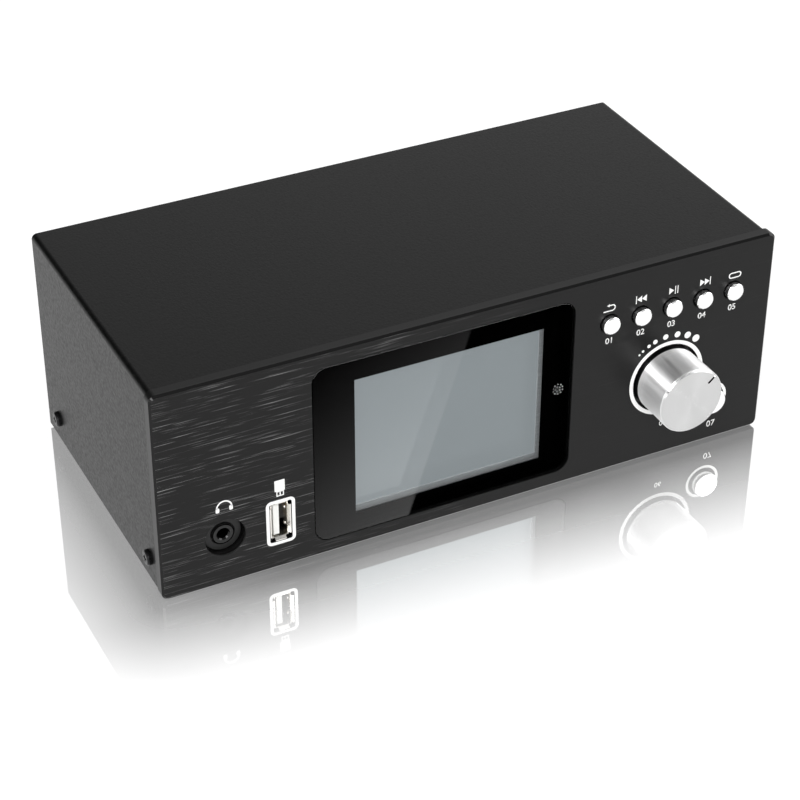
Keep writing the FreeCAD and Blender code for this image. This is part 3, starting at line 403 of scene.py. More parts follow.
# Sockets on the front
# The USB socket is a folded steel shell round a white tongue, and the headphone socket is a
# moulded body whose nose ring shows at the bottom of the round hole.
usb_steel = worked_finish("usb_steel", (0.86, 0.84, 0.80), metallic=1.0, roughness=0.22, size=0.5 * mm,
                          relief=0.003 * mm, wear=0.05)
usb_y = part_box("usb_shell")[0].y
bright_until = 0.6 * mm
dark_from = 4.5 * mm
# Painted shade: the shell's colour darkens from just inside its mouth to near black deep in the socket,
# where shade falls.
usb_painted_shade = spread(usb_steel, own_axes(usb_steel)["Y"], 0.0, 1.0, usb_y + bright_until, usb_y + dark_from)
color_between(usb_steel, usb_painted_shade, (0.86, 0.84, 0.80), (0.05, 0.04, 0.03))
dress(usb_steel, "usb_shell")

tongue_white = worked_finish("tongue_white", (0.84, 0.84, 0.81), roughness=0.35, size=0.5 * mm,
                             relief=0.004 * mm, wear=0.04)
dress(tongue_white, "usb_tongue")

nose_black = worked_finish("nose_black", (0.014, 0.014, 0.014), roughness=0.45, specular=0.3,
                           size=0.3 * mm, relief=0.004 * mm)
nose_low, nose_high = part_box("headphone_nose")
nose_middle = (nose_low + nose_high) / 2
bore_mouth = 2.2 * mm
nose_r = from_axis(nose_black, own_axes(nose_black, nose_middle))
# Painted shade: the bore of the nose is coloured near black, for the shade deep in the hole; it is also
# glossier there.
in_bore_painted_shade = combine(nose_black, "LESS_THAN", nose_r, bore_mouth)
color_between(nose_black, in_bore_painted_shade, (0.016, 0.016, 0.016), (0.0005, 0.0005, 0.0005))
nose_gloss = spread(nose_black, in_bore_painted_shade, 0.45, 0.10, 0.0, 1.0)
link(nose_black, nose_gloss, principled(nose_black).inputs["Roughness"])
dress(nose_black, "headphone_body", "headphone_nose")

# Switches and the encoder behind the panel
# Five small push switches and one large one with moulded plungers, and an encoder whose steel
# shaft turns the volume knob and passes its push on to a plunger.
plunger_black = worked_finish("plunger_black", (0.015, 0.015, 0.016), roughness=0.4, size=0.2 * mm,
                              relief=0.005 * mm)
dress(plunger_black, "power_plunger", "click_plunger", "encoder_rotor", "knob_core")
for key in range(1, 6):
    dress(plunger_black, f"switch_plunger_{key}")

encoder_metal = new_finish("encoder_metal", (0.60, 0.60, 0.61), metallic=1.0, roughness=0.28)
turned_steel = grain_on(encoder_metal, (200.0, 4200.0, 200.0), 1.0)
color_between(encoder_metal, spread(encoder_metal, turned_steel), (0.52, 0.52, 0.53), (0.68, 0.68, 0.69))
raise_grain(encoder_metal, turned_steel, 0.004 * mm)
dress(encoder_metal, "encoder_bush", "encoder_washer", "encoder_nut", "encoder_shaft")

# Front panel
# One 4 mm aluminium plate, brushed along its length and anodised black.
# Its thin bright streaks, most of all towards the left end, are painted highlights in the base colour,
# where the real brushing catches the light.
panel_low, panel_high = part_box("front_panel")
panel_black = new_finish("panel_black", (0.006, 0.006, 0.006), roughness=0.34, specular=0.20)
face_film = 0.06 * mm
edge_depth = 0.75 * mm
edge_gloss = 0.09
back_gloss = 0.34
frame_width = 1.2 * mm
pocket_lip = 0.35 * mm
pocket_deep = 0.55 * mm
hairs = grain_on(panel_black, (30.0, 300.0, 4000.0), 3.0)
streaks = grain_on(panel_black, (52.0, 300.0, 6000.0), 2.0)
clusters = grain_on(panel_black, (25.0, 40.0, 120.0), 2.0)
panel_axes = own_axes(panel_black)
streaked_end = panel_low.x + 20 * mm
plain_from = 20 * mm
to_the_left = spread(panel_black, panel_axes["X"], 1.0, 0.02, streaked_end, plain_from)
streak_lines = spread(panel_black, streaks, 0.0, 1.0, 0.63, 0.71)
streak_places = spread(panel_black, clusters, 0.40, 0.85, 0.42, 0.62)
bright = combine(panel_black, "MULTIPLY", streak_lines, streak_places)
bright = combine(panel_black, "MULTIPLY", bright, to_the_left)


def choose_number(material, factor, otherwise, chosen):
    """Mixes two values, each an output or a plain number."""
    mixer = add_node(material, "ShaderNodeMix")
    link(material, factor, mixer.inputs[0])
    for socket, value in ((mixer.inputs[2], otherwise), (mixer.inputs[3], chosen)):
        if isinstance(value, (int, float)):
            socket.default_value = value
        else:
            link(material, value, socket)
    return mixer.outputs[0]


# The face is satin and the plate's outer edge polished. The walls of the pockets are dull at the
# lip and shine further down.
past_face = spread(panel_black, panel_axes["Y"], 0.0, 1.0,
                   panel_low.y + face_film / 3, panel_low.y + face_film)
past_edge = spread(panel_black, panel_axes["Y"], 0.0, 1.0,
                   panel_low.y + edge_depth, panel_low.y + edge_depth + 0.1 * mm)
panel_z = combine(panel_black, "SUBTRACT", panel_axes["Z"], (panel_low.z + panel_high.z) / 2)
from_middle_x = combine(panel_black, "ABSOLUTE", panel_axes["X"])
from_middle_z = combine(panel_black, "ABSOLUTE", panel_z)
inside_x = combine(panel_black, "LESS_THAN", from_middle_x, panel_high.x - frame_width)
half_height = (panel_high.z - panel_low.z) / 2
inside_z = combine(panel_black, "LESS_THAN", from_middle_z, half_height - frame_width)
inwards = combine(panel_black, "MULTIPLY", inside_x, inside_z)
in_pocket = combine(panel_black, "MULTIPLY", past_face, inwards)
on_face = choose_number(panel_black, past_face, 1.0, 0.0)
# Painted highlight: the streaks on the face are lighter in the base colour.
color_between(panel_black, combine(panel_black, "MULTIPLY", bright, on_face),
              (0.006, 0.006, 0.006), (0.450, 0.450, 0.450))
panel_gloss = choose_number(panel_black, past_face, spread(panel_black, hairs, 0.31, 0.40), edge_gloss)
panel_gloss = choose_number(panel_black, past_edge, panel_gloss, back_gloss)
pocket_gloss = spread(panel_black, panel_axes["Y"], 0.70, 0.12,
                      panel_low.y + pocket_lip, panel_low.y + pocket_deep)
panel_gloss = choose_number(panel_black, in_pocket, panel_gloss, pocket_gloss)
link(panel_black, panel_gloss, principled(panel_black).inputs["Roughness"])
raise_grain(panel_black, hairs, 0.003 * mm, 0.5)
dress(panel_black, "front_panel")

# White print on the panel
# Screen printed ink: a ring and eight growing dots round the knob, a ring round the large button,
# plain symbols and numbers at the buttons, and pictograms at the sockets.
ink = 0.02 * mm
ring_sides = 96
dot_sides = 32
arch_sides = 64
to_front = (math.pi / 2, 0, 0)
figure_share = 0.69
figure_swell = 0.04 * mm
face_y = panel_low.y
print_white = worked_finish("print_white", (0.90, 0.90, 0.89), roughness=0.45, specular=0.35,
                            size=0.3 * mm, relief=0.004 * mm, wear=0.03)
printed = []


def thicken(piece):
    """Turns a flat piece into a film of ink."""
    place_in_mesh(piece)
    apply_modifier(piece, "SOLIDIFY", thickness=ink, offset=1.0)


def ink_on(piece):
    """Adds a flat piece to the panel's print, as a film of ink."""
    thicken(piece)
    printed.append(piece)


def flat_disc(x, z, radius, sides=ring_sides, y=face_y):
    """A flat disc that looks to the front, on the panel's face unless another depth is given."""
    deselect()
    bpy.ops.mesh.primitive_circle_add(vertices=sides, radius=radius, fill_type="NGON",
                                      location=(x, y, z), rotation=to_front)
    return bpy.context.object


def hollow_out(line):
    """Leaves only a line of that width round the edge of a flat face."""
    bpy.ops.object.mode_set(mode="EDIT")
    bpy.ops.mesh.select_all(action="SELECT")
    bpy.ops.mesh.inset(thickness=line)
    bpy.ops.mesh.delete(type="FACE")
    bpy.ops.object.mode_set(mode="OBJECT")


def flat_block(x, z, width, height, corner=0.0):
    """A flat rectangle on the panel's face, with rounded corners if asked."""
    deselect()
    bpy.ops.mesh.primitive_plane_add(size=1.0, location=(x, face_y, z), rotation=to_front)
    piece = bpy.context.object
    piece.scale = (width, height, 1.0)
    place_in_mesh(piece)
    if corner:
        bpy.ops.object.mode_set(mode="EDIT")
        bpy.ops.mesh.select_all(action="SELECT")
        bpy.ops.mesh.bevel(affect="VERTICES", offset=corner, segments=8)
        bpy.ops.object.mode_set(mode="OBJECT")
    return piece


def trim(point, away):
    """Cuts off what lies past a point in that direction."""
    bpy.ops.object.mode_set(mode="EDIT")
    bpy.ops.mesh.select_all(action="SELECT")
    bpy.ops.mesh.bisect(plane_co=point, plane_no=away, clear_outer=True)
    bpy.ops.object.mode_set(mode="OBJECT")


def arrowhead(x, z, width, height, to_right):
    """A flat triangle whose tip points along the panel."""
    side = 1.0 if to_right else -1.0
    piece = flat_disc(x, z, 1.0, 3)
    place_in_mesh(piece)
    tip = max(vertex.co.z for vertex in piece.data.vertices)
    base = min(vertex.co.z for vertex in piece.data.vertices)
    for vertex in piece.data.vertices:
        along = (vertex.co.z - base) / (tip - base)
        across = (vertex.co.x - x) / math.sqrt(3.0)
        vertex.co = Vector((x + side * width * (along - 0.5), face_y, z - side * height * across))
    return piece


def number(text, x, z, height):
    """Plain figures in ink, centred on a point."""
    deselect()
    bpy.ops.object.text_add(location=(x, face_y, z), rotation=to_front)
    figures = bpy.context.object
    figures.data.body = text
    figures.data.size = height / figure_share
    figures.data.align_x = "CENTER"
    figures.data.align_y = "CENTER"
    figures.data.resolution_u = 4
    figures.data.offset = figure_swell
    bpy.ops.object.convert(target="MESH")
    return bpy.context.object


def joined(pieces, name):
    """Joins pieces into the first of them."""
    deselect()
    for piece in pieces:
        piece.select_set(True)
    bpy.context.view_layer.objects.active = pieces[0]
    bpy.ops.object.join()
    pieces[0].name = name
    return pieces[0]


def middle(node):
    """The centre of a CAD node's box at rest."""
    low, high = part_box(node)
    return (low + high) / 2


knob_middle = middle("volume_knob")
knob_ring_radius = 13.9 * mm
knob_ring_line = 1.35 * mm
knob_ring = flat_disc(knob_middle.x, knob_middle.z, knob_ring_radius)
hollow_out(knob_ring_line)
ink_on(knob_ring)

power_middle = middle("power_button")
power_ring_radius = 6.4 * mm
power_ring_line = 1.0 * mm
power_ring = flat_disc(power_middle.x, power_middle.z, power_ring_radius)
hollow_out(power_ring_line)
ink_on(power_ring)

dot_circle = 16.05 * mm
dot_angles = (133, 127, 118, 109, 95, 79, 64, 50)
dot_sizes = (0.75, 0.95, 1.3, 1.7, 2.0, 2.2, 2.45, 2.7)
for angle, size in zip(dot_angles, dot_sizes):
    turn = math.radians(angle)
    dot_x = knob_middle.x + dot_circle * math.cos(turn)
    dot_z = knob_middle.z + dot_circle * math.sin(turn)
    ink_on(flat_disc(dot_x, dot_z, size * mm / 2, dot_sides))

symbol_rise = 6.0 * mm
symbol_height = 2.4 * mm
symbol_line = 0.42 * mm
bar_height = 2.9 * mm
bar_width = 0.30 * mm
head_width = 1.75 * mm
number_drop = 6.6 * mm
number_shift = 0.3 * mm
number_height = 2.1 * mm
keys = [middle(f"button_{key}") for key in range(1, 6)]
for key, spot in enumerate(keys, 1):
    ink_on(number(f"{key:02d}", spot.x + number_shift, spot.z - number_drop, number_height))

back_x = keys[0].x - 0.3 * mm
back_z = keys[0].z + symbol_rise - 0.3 * mm
back_width = 4.4 * mm
back_corner = 1.19 * mm
back_line_z = symbol_height / 2 - symbol_line / 2
back_upper = flat_block(back_x, back_z, back_width, symbol_height, back_corner)
hollow_out(symbol_line)
trim((back_x - 0.1 * mm, face_y, back_z), (-1, 0, 0))
ink_on(back_upper)
ink_on(flat_block(back_x - back_width / 4, back_z - back_line_z, back_width / 2, symbol_line))
ink_on(arrowhead(back_x - 0.5 * mm, back_z + back_line_z, 0.9 * mm, 1.1 * mm, False))

last_x = keys[1].x
last_z = keys[1].z + symbol_rise
ink_on(flat_block(last_x - head_width - bar_width, last_z, bar_width, bar_height))
ink_on(arrowhead(last_x - head_width / 2, last_z, head_width, symbol_height, False))
ink_on(arrowhead(last_x + head_width / 2, last_z, head_width, symbol_height, False))

play_x = keys[2].x + 0.3 * mm
play_z = keys[2].z + symbol_rise
ink_on(arrowhead(play_x - 0.8 * mm, play_z, head_width, symbol_height, True))
ink_on(flat_block(play_x + 0.6 * mm, play_z, bar_width, bar_height))
ink_on(flat_block(play_x + 1.5 * mm, play_z, bar_width, bar_height))

next_x = keys[3].x + 0.4 * mm
next_z = keys[3].z + symbol_rise
ink_on(arrowhead(next_x - head_width / 2, next_z, head_width, symbol_height, True))
ink_on(arrowhead(next_x + head_width / 2, next_z, head_width, symbol_height, True))
ink_on(flat_block(next_x + head_width + bar_width, next_z, bar_width, bar_height))

loop_width = 4.8 * mm
loop_height = 2.2 * mm
loop_corner = 1.09 * mm
loop_mark = flat_block(keys[4].x + 0.4 * mm, keys[4].z + symbol_rise - 0.5 * mm,
                       loop_width, loop_height, loop_corner)
hollow_out(symbol_line)
ink_on(loop_mark)

knob_number_drop = 17.9 * mm
power_number_drop = 10.5 * mm
power_number_shift = 1.3 * mm
power_number_z = power_middle.z - power_number_drop
ink_on(number("06", knob_middle.x, knob_middle.z - knob_number_drop, 1.9 * mm))
ink_on(number("07", power_middle.x + power_number_shift, power_number_z, 2.3 * mm))

usb_middle = middle("usb_shell")
usb_frame_width = 9.7 * mm
usb_frame_height = 16.8 * mm
usb_frame_corner = 1.8 * mm
usb_frame_line = 1.1 * mm
usb_line = flat_block(usb_middle.x, usb_middle.z, usb_frame_width, usb_frame_height, usb_frame_corner)
hollow_out(usb_frame_line)
ink_on(usb_line)

stick_rise = 13.65 * mm
stick_plug_line = 0.35 * mm
stick_plug_x = usb_middle.x + 0.05 * mm
stick_plug_z = usb_middle.z + 10.7 * mm
ink_on(flat_block(usb_middle.x - 0.05 * mm, usb_middle.z + stick_rise, 3.4 * mm, 4.1 * mm, 0.3 * mm))
stick_plug = flat_block(stick_plug_x, stick_plug_z, 2.5 * mm, 1.9 * mm)
hollow_out(stick_plug_line)
ink_on(stick_plug)
ink_on(flat_block(stick_plug_x, stick_plug_z, 0.4 * mm, 1.3 * mm))

phones_middle = middle("headphone_nose")
arch_z = phones_middle.z + 11.3 * mm
arch_radius = 2.7 * mm
arch_line = 0.5 * mm
cup_reach = 2.2 * mm
cup_drop = 0.5 * mm
arch = flat_disc(phones_middle.x, arch_z, arch_radius, arch_sides)
hollow_out(arch_line)
trim((0, 0, arch_z), (0, 0, -1))
ink_on(arch)
for side in (-1, 1):
    cup_x = phones_middle.x + side * cup_reach
    ink_on(flat_block(cup_x, arch_z - cup_drop, 1.2 * mm, 1.7 * mm, 0.4 * mm))

panel_print = joined(printed, "panel_print")
give_finish(panel_print, print_white)
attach(panel_print, "root")

# Ring on the headphone nose
# A thin dead black line of painted shade runs round the edge of the nose, where the real nose has a
# narrow gap.
# It lies on the nose as a film of the print's thickness.
gap_painted_shade = worked_finish("gap_painted_shade", (0.0006, 0.0006, 0.0006), roughness=0.6, specular=0.0,
                          size=0.3 * mm, relief=0.002 * mm)
ring_outer = 3.63 * mm
ring_line = 0.36 * mm
nose_ring = flat_disc(nose_middle.x, nose_middle.z, ring_outer, y=nose_low.y)
hollow_out(ring_line)
thicken(nose_ring)
nose_ring.name = "nose_ring"
give_finish(nose_ring, gap_painted_shade)
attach(nose_ring, "root")

# Remote window in the mask
# A round pattern of small holes in the mask lets the remote control's light reach the receiver.
# The holes are grey discs that glow with painted light against the mask, and lie in two rings.
hole_rings = ((0.82 * mm, 5), (1.78 * mm, 10))
hole_radius = 0.20 * mm
hole_sides = 16
receiver_middle = middle("remote_receiver")
hole_grey_painted_glow = worked_finish("hole_grey_painted_glow", (0.85, 0.85, 0.86), roughness=0.5, specular=0.3, size=0.2 * mm,
                          relief=0.002 * mm, wear=0.1)
# Painted light: the grey holes glow, though they are no lamp.
glow(hole_grey_painted_glow, (1.0, 1.0, 1.0), 0.70)
holes = []
for ring_radius, count in hole_rings:
    for step in range(count):
        turn = math.tau * (step + 0.5) / count
        hole_x = receiver_middle.x + ring_radius * math.cos(turn)
        hole_z = receiver_middle.z + ring_radius * math.sin(turn)
        hole = flat_disc(hole_x, hole_z, hole_radius, hole_sides, mask_low.y)
        place_in_mesh(hole)
        holes.append(hole)
remote_holes = joined(holes, "remote_holes")
apply_modifier(remote_holes, "SOLIDIFY", thickness=ink, offset=-1.0)
give_finish(remote_holes, hole_grey_painted_glow)
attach(remote_holes, "root")

# Push buttons
# Solid brass buttons, polished and chromium plated, with flat faces and eased edges.
# Each slides in its hole of the panel and pushes the plunger behind it.
button_chrome = worked_finish("button_chrome", (0.94, 0.94, 0.94), metallic=1.0, roughness=0.20,
                              size=0.5 * mm, relief=0.0008 * mm, wear=0.03)
dress(button_chrome, "power_button")
for key in range(1, 6):
    dress(button_chrome, f"button_{key}")

# Volume knob
# Turned from aluminium bar: the fine grooves of the tool run round the side and, as rings,
# over the face, so that light spreads across them in bands.
knob_aluminium = new_finish("knob_aluminium", (0.76, 0.76, 0.76), metallic=1.0, roughness=0.26)
grooves_per_metre = 5200.0
knob_axes = own_axes(knob_aluminium, (knob_middle.x, 0.0, knob_middle.z))
knob_r = from_axis(knob_aluminium, knob_axes)
knob_y = knob_axes["Y"]
groove_place = add_node(knob_aluminium, "ShaderNodeCombineXYZ")
for source, socket in ((knob_r, "X"), (knob_y, "Y")):
    groove_count = combine(knob_aluminium, "MULTIPLY", source, grooves_per_metre)
    link(knob_aluminium, groove_count, groove_place.inputs[socket])
grooves = add_node(knob_aluminium, "ShaderNodeTexNoise", Scale=1.0, Detail=3.0)
link(knob_aluminium, groove_place.outputs["Vector"], grooves.inputs["Vector"])
round_way = add_node(knob_aluminium, "ShaderNodeCombineXYZ")
link(knob_aluminium, combine(knob_aluminium, "MULTIPLY", knob_axes["Z"], -1.0), round_way.inputs["X"])
link(knob_aluminium, knob_axes["X"], round_way.inputs["Z"])
round_unit = add_node(knob_aluminium, "ShaderNodeVectorMath")
round_unit.operation = "NORMALIZE"
link(knob_aluminium, round_way.outputs["Vector"], round_unit.inputs[0])
round_turned = add_node(knob_aluminium, "ShaderNodeVectorTransform")
round_turned.vector_type = "VECTOR"
round_turned.convert_from = "OBJECT"
round_turned.convert_to = "WORLD"
link(knob_aluminium, round_unit.outputs["Vector"], round_turned.inputs["Vector"])
link(knob_aluminium, round_turned.outputs["Vector"], principled(knob_aluminium).inputs["Tangent"])
knob_low, knob_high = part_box("volume_knob")
face_gloss = 0.22
side_gloss = 0.40
rim_front = knob_low.y + 0.3 * mm
rim_back = knob_low.y + 0.9 * mm
pointer_depth = 0.10 * mm
edge_of_face = 1.1 * mm
foot_from = panel_low.y - 1.25 * mm
foot_dark_from = panel_low.y - 1.05 * mm

# The face is smoother than the side and carries painted shade that makes it a little darker. The floor of
# the pointer's groove and the foot inside the panel's pocket are dark with painted shade.
past_rim = spread(knob_aluminium, knob_y, face_gloss, side_gloss, rim_front, rim_back)
link(knob_aluminium, past_rim, principled(knob_aluminium).inputs["Roughness"])
principled(knob_aluminium).inputs["Anisotropic"].default_value = 1.0
principled(knob_aluminium).inputs["Anisotropic Rotation"].default_value = 0.25
pointer_floor = spread(knob_aluminium, knob_y, 0.0, 1.0,
                       knob_low.y + pointer_depth / 2, knob_low.y + pointer_depth)
within_face = combine(knob_aluminium, "LESS_THAN", knob_r, (knob_high.x - knob_low.x) / 2 - edge_of_face)
pointer_painted_shade = combine(knob_aluminium, "MULTIPLY", pointer_floor, within_face)
foot_painted_shade = spread(knob_aluminium, knob_y, 0.0, 1.0, foot_from, foot_dark_from)
in_shade = combine(knob_aluminium, "MAXIMUM", foot_painted_shade, pointer_painted_shade)
face_painted_shade = spread(knob_aluminium, knob_y, 0.68, 1.0, rim_front, rim_back)
turned_shade = spread(knob_aluminium, grooves.outputs["Fac"], 0.90, 1.0)
knob_shade = combine(knob_aluminium, "MULTIPLY", face_painted_shade, turned_shade)
knob_shade = combine(knob_aluminium, "SUBTRACT", knob_shade, in_shade)
color_between(knob_aluminium, knob_shade, (0.01, 0.01, 0.01), (0.95, 0.95, 0.95))
raise_grain(knob_aluminium, grooves.outputs["Fac"], 0.0008 * mm)
dress(knob_aluminium, "volume_knob")

# Top cover
# One steel sheet folded over the top and both sides, faced with a black grained film.
# The film has fine round pebbles with creases between them, which spread the light.
cover_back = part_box("top_cover")[1].y
cover_black = new_finish("cover_black", (0.004, 0.004, 0.004), roughness=0.45, specular=0.16)
pebbles_per_metre = (1500.0, 1100.0, 1300.0)
leather = add_node(cover_black, "ShaderNodeTexVoronoi", Scale=1.0)
leather.feature = "SMOOTH_F1"
link(cover_black, counted(cover_black, pebbles_per_metre), leather.inputs["Vector"])
creases = grain_on(cover_black, (700.0, 700.0, 700.0), 4.0)
pebbles = combine(cover_black, "ADD", leather.outputs["Distance"], creases)
color_between(cover_black, spread(cover_black, creases), (0.001, 0.001, 0.001), (0.004, 0.004, 0.004))
cover_gloss = spread(cover_black, pebbles, 0.28, 0.44, 0.4, 1.4)
link(cover_black, cover_gloss, principled(cover_black).inputs["Roughness"])
raise_grain(cover_black, pebbles, 0.045 * mm, 0.45)
dress(cover_black, "top_cover")

# Case screws
# Black pan head screws with a cross recess, two low on each side of the cover and three in the
# rear panel, each head rolled smooth over its rim.
screw_radius = 2.6 * mm
screw_rise = 1.5 * mm
screw_shank_radius = 1.25 * mm
screw_shank_length = 4.0 * mm
cross_reach = 1.55 * mm
cross_width = 0.75 * mm
cross_depth = 1.0 * mm
cross_tip_reach = 0.45
cross_tip_width = 0.7
rim_round = 0.95 * mm
screw_black = worked_finish("screw_black", (0.014, 0.014, 0.015), metallic=0.7, roughness=0.30,
                            size=0.4 * mm, relief=0.004 * mm)


def solid_cylinder(radius, low, high):
    """A closed cylinder along Z from one height to another."""
    deselect()
    bpy.ops.mesh.primitive_cylinder_add(vertices=48, radius=radius, depth=high - low,
                                        location=(0, 0, (low + high) / 2))
    place_in_mesh(bpy.context.object)
    return bpy.context.object


def tapered_bar(length, width, top, depth):
    """A bar along X that narrows downwards, as one pair of wings of the cross."""
    deselect()
    bpy.ops.mesh.primitive_cube_add(size=1.0, location=(0, 0, top - depth / 2 + 0.2 * mm))
    bar = bpy.context.object
    bar.scale = (length, width, depth + 0.4 * mm)
    place_in_mesh(bar)
    for vertex in bar.data.vertices:
        if vertex.co.z < top - depth / 2:
            vertex.co.x *= cross_tip_reach
            vertex.co.y *= cross_tip_width
    return bar


pan_head = solid_cylinder(screw_radius, 0.0, screw_rise)
bevel_edges(pan_head, lambda first, last: min(first.z, last.z) > screw_rise / 2,
            offset=rim_round, segments=5, profile=0.62)
for across in (False, True):
    wings = tapered_bar(2 * cross_reach, cross_width, screw_rise, cross_depth)
    if across:
        wings.rotation_euler = (0, 0, math.pi / 2)
        place_in_mesh(wings)
    apply_modifier(pan_head, "BOOLEAN", operation="DIFFERENCE", object=wings, solver="EXACT")
    bpy.data.objects.remove(wings)
shank = solid_cylinder(screw_shank_radius, -screw_shank_length, 0.05 * mm)
pan_head = joined([pan_head, shank], "pan_head")
give_finish(pan_head, screw_black)


def screw_copy(place, tilt):
    """One more screw, turned to look out of its sheet, with its own mesh."""
    screw = pan_head.copy()
    screw.data = pan_head.data.copy()
    bpy.context.scene.collection.objects.link(screw)
    screw.location = place
    screw.rotation_euler = tilt
    place_in_mesh(screw)
    return screw


side_low, side_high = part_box("cover_screws")
side_z = (side_low.z + side_high.z) / 2
side_screws = []
for side_y in (side_low.y + screw_radius, side_high.y - screw_radius):
    side_screws.append(screw_copy((side_low.x + screw_rise, side_y, side_z), (0, -math.pi / 2, 0)))
    side_screws.append(screw_copy((side_high.x - screw_rise, side_y, side_z), (0, math.pi / 2, 0)))
cover_screw_heads = joined(side_screws, "cover_screw_heads")
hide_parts("cover_screws")
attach(cover_screw_heads, "root")

back_low, back_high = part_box("rear_screws")
rear_y = back_high.y - screw_rise
rear_z = (back_low.z + back_high.z) / 2
back_screws = []
for rear_x in (back_low.x + screw_radius, 0.0, back_high.x - screw_radius):
    back_screws.append(screw_copy((rear_x, rear_y, rear_z), (-math.pi / 2, 0, 0)))
rear_screw_heads = joined(back_screws, "rear_screw_heads")
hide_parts("rear_screws")
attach(rear_screw_heads, "root")
bpy.data.objects.remove(pan_head)

# Studio
# A pale floor that mirrors the case close to it, a white surround and soft lamps.
# The floor, the glass and the polished pieces each mirror their own part of the surround.
floor_size = 12.0
mirror_near = 0.83
mirror_left = 0.76
mirror_left_until = panel_low.x - 10 * mm
mirror_full_from = panel_low.x + 45 * mm
mirror_start = 4 * mm
mirror_reach = 50 * mm
stretch_left = 1.18
stretch_right = 0.86
card_corner = Vector((-0.0213, -0.0553))
card_far_corner = Vector((0.0493, -0.1454))
card_edge = 0.4 * mm
card_slope_x = 1.35
card_slope_y = 2.45
card_level = 0.429
card_contrast = 3.75
card_brightness = 0.66
card_falloff = 2.3
deselect()
bpy.ops.mesh.primitive_plane_add(size=floor_size, location=(0, 0, 0))
floor = bpy.context.object
floor.name = "floor"
floor_pale = bpy.data.materials.new("floor_pale")
floor_pale.use_nodes = True
floor_pale.node_tree.nodes.remove(principled(floor_pale))
floor_end = floor_pale.node_tree.nodes["Material Output"]
floor_axes = own_axes(floor_pale)


def outside_by(axis, low, high):
    """How far a point of the floor lies outside the case along one axis, squared."""
    from_middle = combine(floor_pale, "SUBTRACT", floor_axes[axis], (low + high) / 2)
    distance = combine(floor_pale, "ABSOLUTE", from_middle)
    past_side = combine(floor_pale, "SUBTRACT", distance, (high - low) / 2)
    past_side = combine(floor_pale, "MAXIMUM", past_side)
    return combine(floor_pale, "MULTIPLY", past_side, past_side)


def slope(along_x, along_y):
    """A value that grows evenly over the floor."""
    part_x = combine(floor_pale, "MULTIPLY", floor_axes["X"], along_x)
    part_y = combine(floor_pale, "MULTIPLY", floor_axes["Y"], along_y)
    return combine(floor_pale, "ADD", part_x, part_y)


from_case = combine(floor_pale, "ADD", outside_by("X", panel_low.x, panel_high.x),
                    outside_by("Y", panel_low.y, cover_back))
from_case = combine(floor_pale, "SQRT", from_case)
stretch = spread(floor_pale, floor_axes["X"], stretch_left, stretch_right, panel_low.x, panel_high.x)
from_case = combine(floor_pale, "MULTIPLY", from_case, stretch)
mirror_share = spread(floor_pale, from_case, mirror_near, 0.0, mirror_start, mirror_reach)
weaker_left = spread(floor_pale, floor_axes["X"], mirror_left, 1.0, mirror_left_until, mirror_full_from)
mirror_share = combine(floor_pale, "MULTIPLY", mirror_share, weaker_left)
floor_matt = add_node(floor_pale, "ShaderNodeBsdfDiffuse", Color=(0.82, 0.82, 0.82, 1.0))
floor_sheet = add_node(floor_pale, "ShaderNodeBsdfDiffuse", Color=(0.34, 0.34, 0.34, 1.0))
floor_glow = add_node(floor_pale, "ShaderNodeEmission", Color=(1.0, 1.0, 1.0, 1.0), Strength=0.78)
floor_lit = add_node(floor_pale, "ShaderNodeAddShader")
floor_gloss = add_node(floor_pale, "ShaderNodeBsdfGlossy", Color=(1.0, 1.0, 1.0, 1.0), Roughness=0.0)
floor_seen = add_node(floor_pale, "ShaderNodeMixShader")
floor_path = add_node(floor_pale, "ShaderNodeLightPath")
link(floor_pale, floor_sheet.outputs["BSDF"], floor_lit.inputs[0])
link(floor_pale, floor_glow.outputs["Emission"], floor_lit.inputs[1])
link(floor_pale, mirror_share, floor_seen.inputs["Fac"])
link(floor_pale, floor_lit.outputs["Shader"], floor_seen.inputs[1])
link(floor_pale, floor_gloss.outputs["BSDF"], floor_seen.inputs[2])

# What only the clear glass mirrors is dark, but for a pale card that lies before the case.
card_way = (card_far_corner - card_corner).normalized()
edge_at = card_way.x * card_corner.y - card_way.y * card_corner.x
past_card = slope(-card_way.y, card_way.x)
on_card = spread(floor_pale, past_card, 1.0, 0.0, edge_at - card_edge, edge_at + card_edge)
card_fade = combine(floor_pale, "ADD", slope(card_slope_x, card_slope_y), card_level)
card_fade = combine(floor_pale, "MULTIPLY", card_fade, card_contrast)
card_fade = combine(floor_pale, "MAXIMUM", card_fade)
card_light = combine(floor_pale, "POWER", card_fade, card_falloff)
card_light = combine(floor_pale, "MULTIPLY", card_light, on_card)
card_light = combine(floor_pale, "MULTIPLY", card_light, card_brightness)
floor_card = add_node(floor_pale, "ShaderNodeEmission", Color=(1.0, 1.0, 1.0, 1.0))
link(floor_pale, card_light, floor_card.inputs["Strength"])


def choose(material, factor, otherwise, chosen):
    """Mixes two shaders by a yes or no of the light path."""
    mixer = add_node(material, "ShaderNodeMixShader")
    link(material, factor, mixer.inputs["Fac"])
    link(material, otherwise, mixer.inputs[1])
    link(material, chosen, mixer.inputs[2])
    return mixer.outputs["Shader"]


seen_in_gloss = combine(floor_pale, "MAXIMUM", floor_path.outputs["Is Glossy Ray"],
                        floor_path.outputs["Is Transmission Ray"])
floor_shown = choose(floor_pale, seen_in_gloss, floor_matt.outputs["BSDF"], floor_lit.outputs["Shader"])
floor_shown = choose(floor_pale, floor_path.outputs["Is Singular Ray"], floor_shown,
                     floor_card.outputs["Emission"])
floor_shown = choose(floor_pale, floor_path.outputs["Is Camera Ray"], floor_shown,
                     floor_seen.outputs["Shader"])
link(floor_pale, floor_shown, floor_end.inputs["Surface"])
floor.data.materials.append(floor_pale)

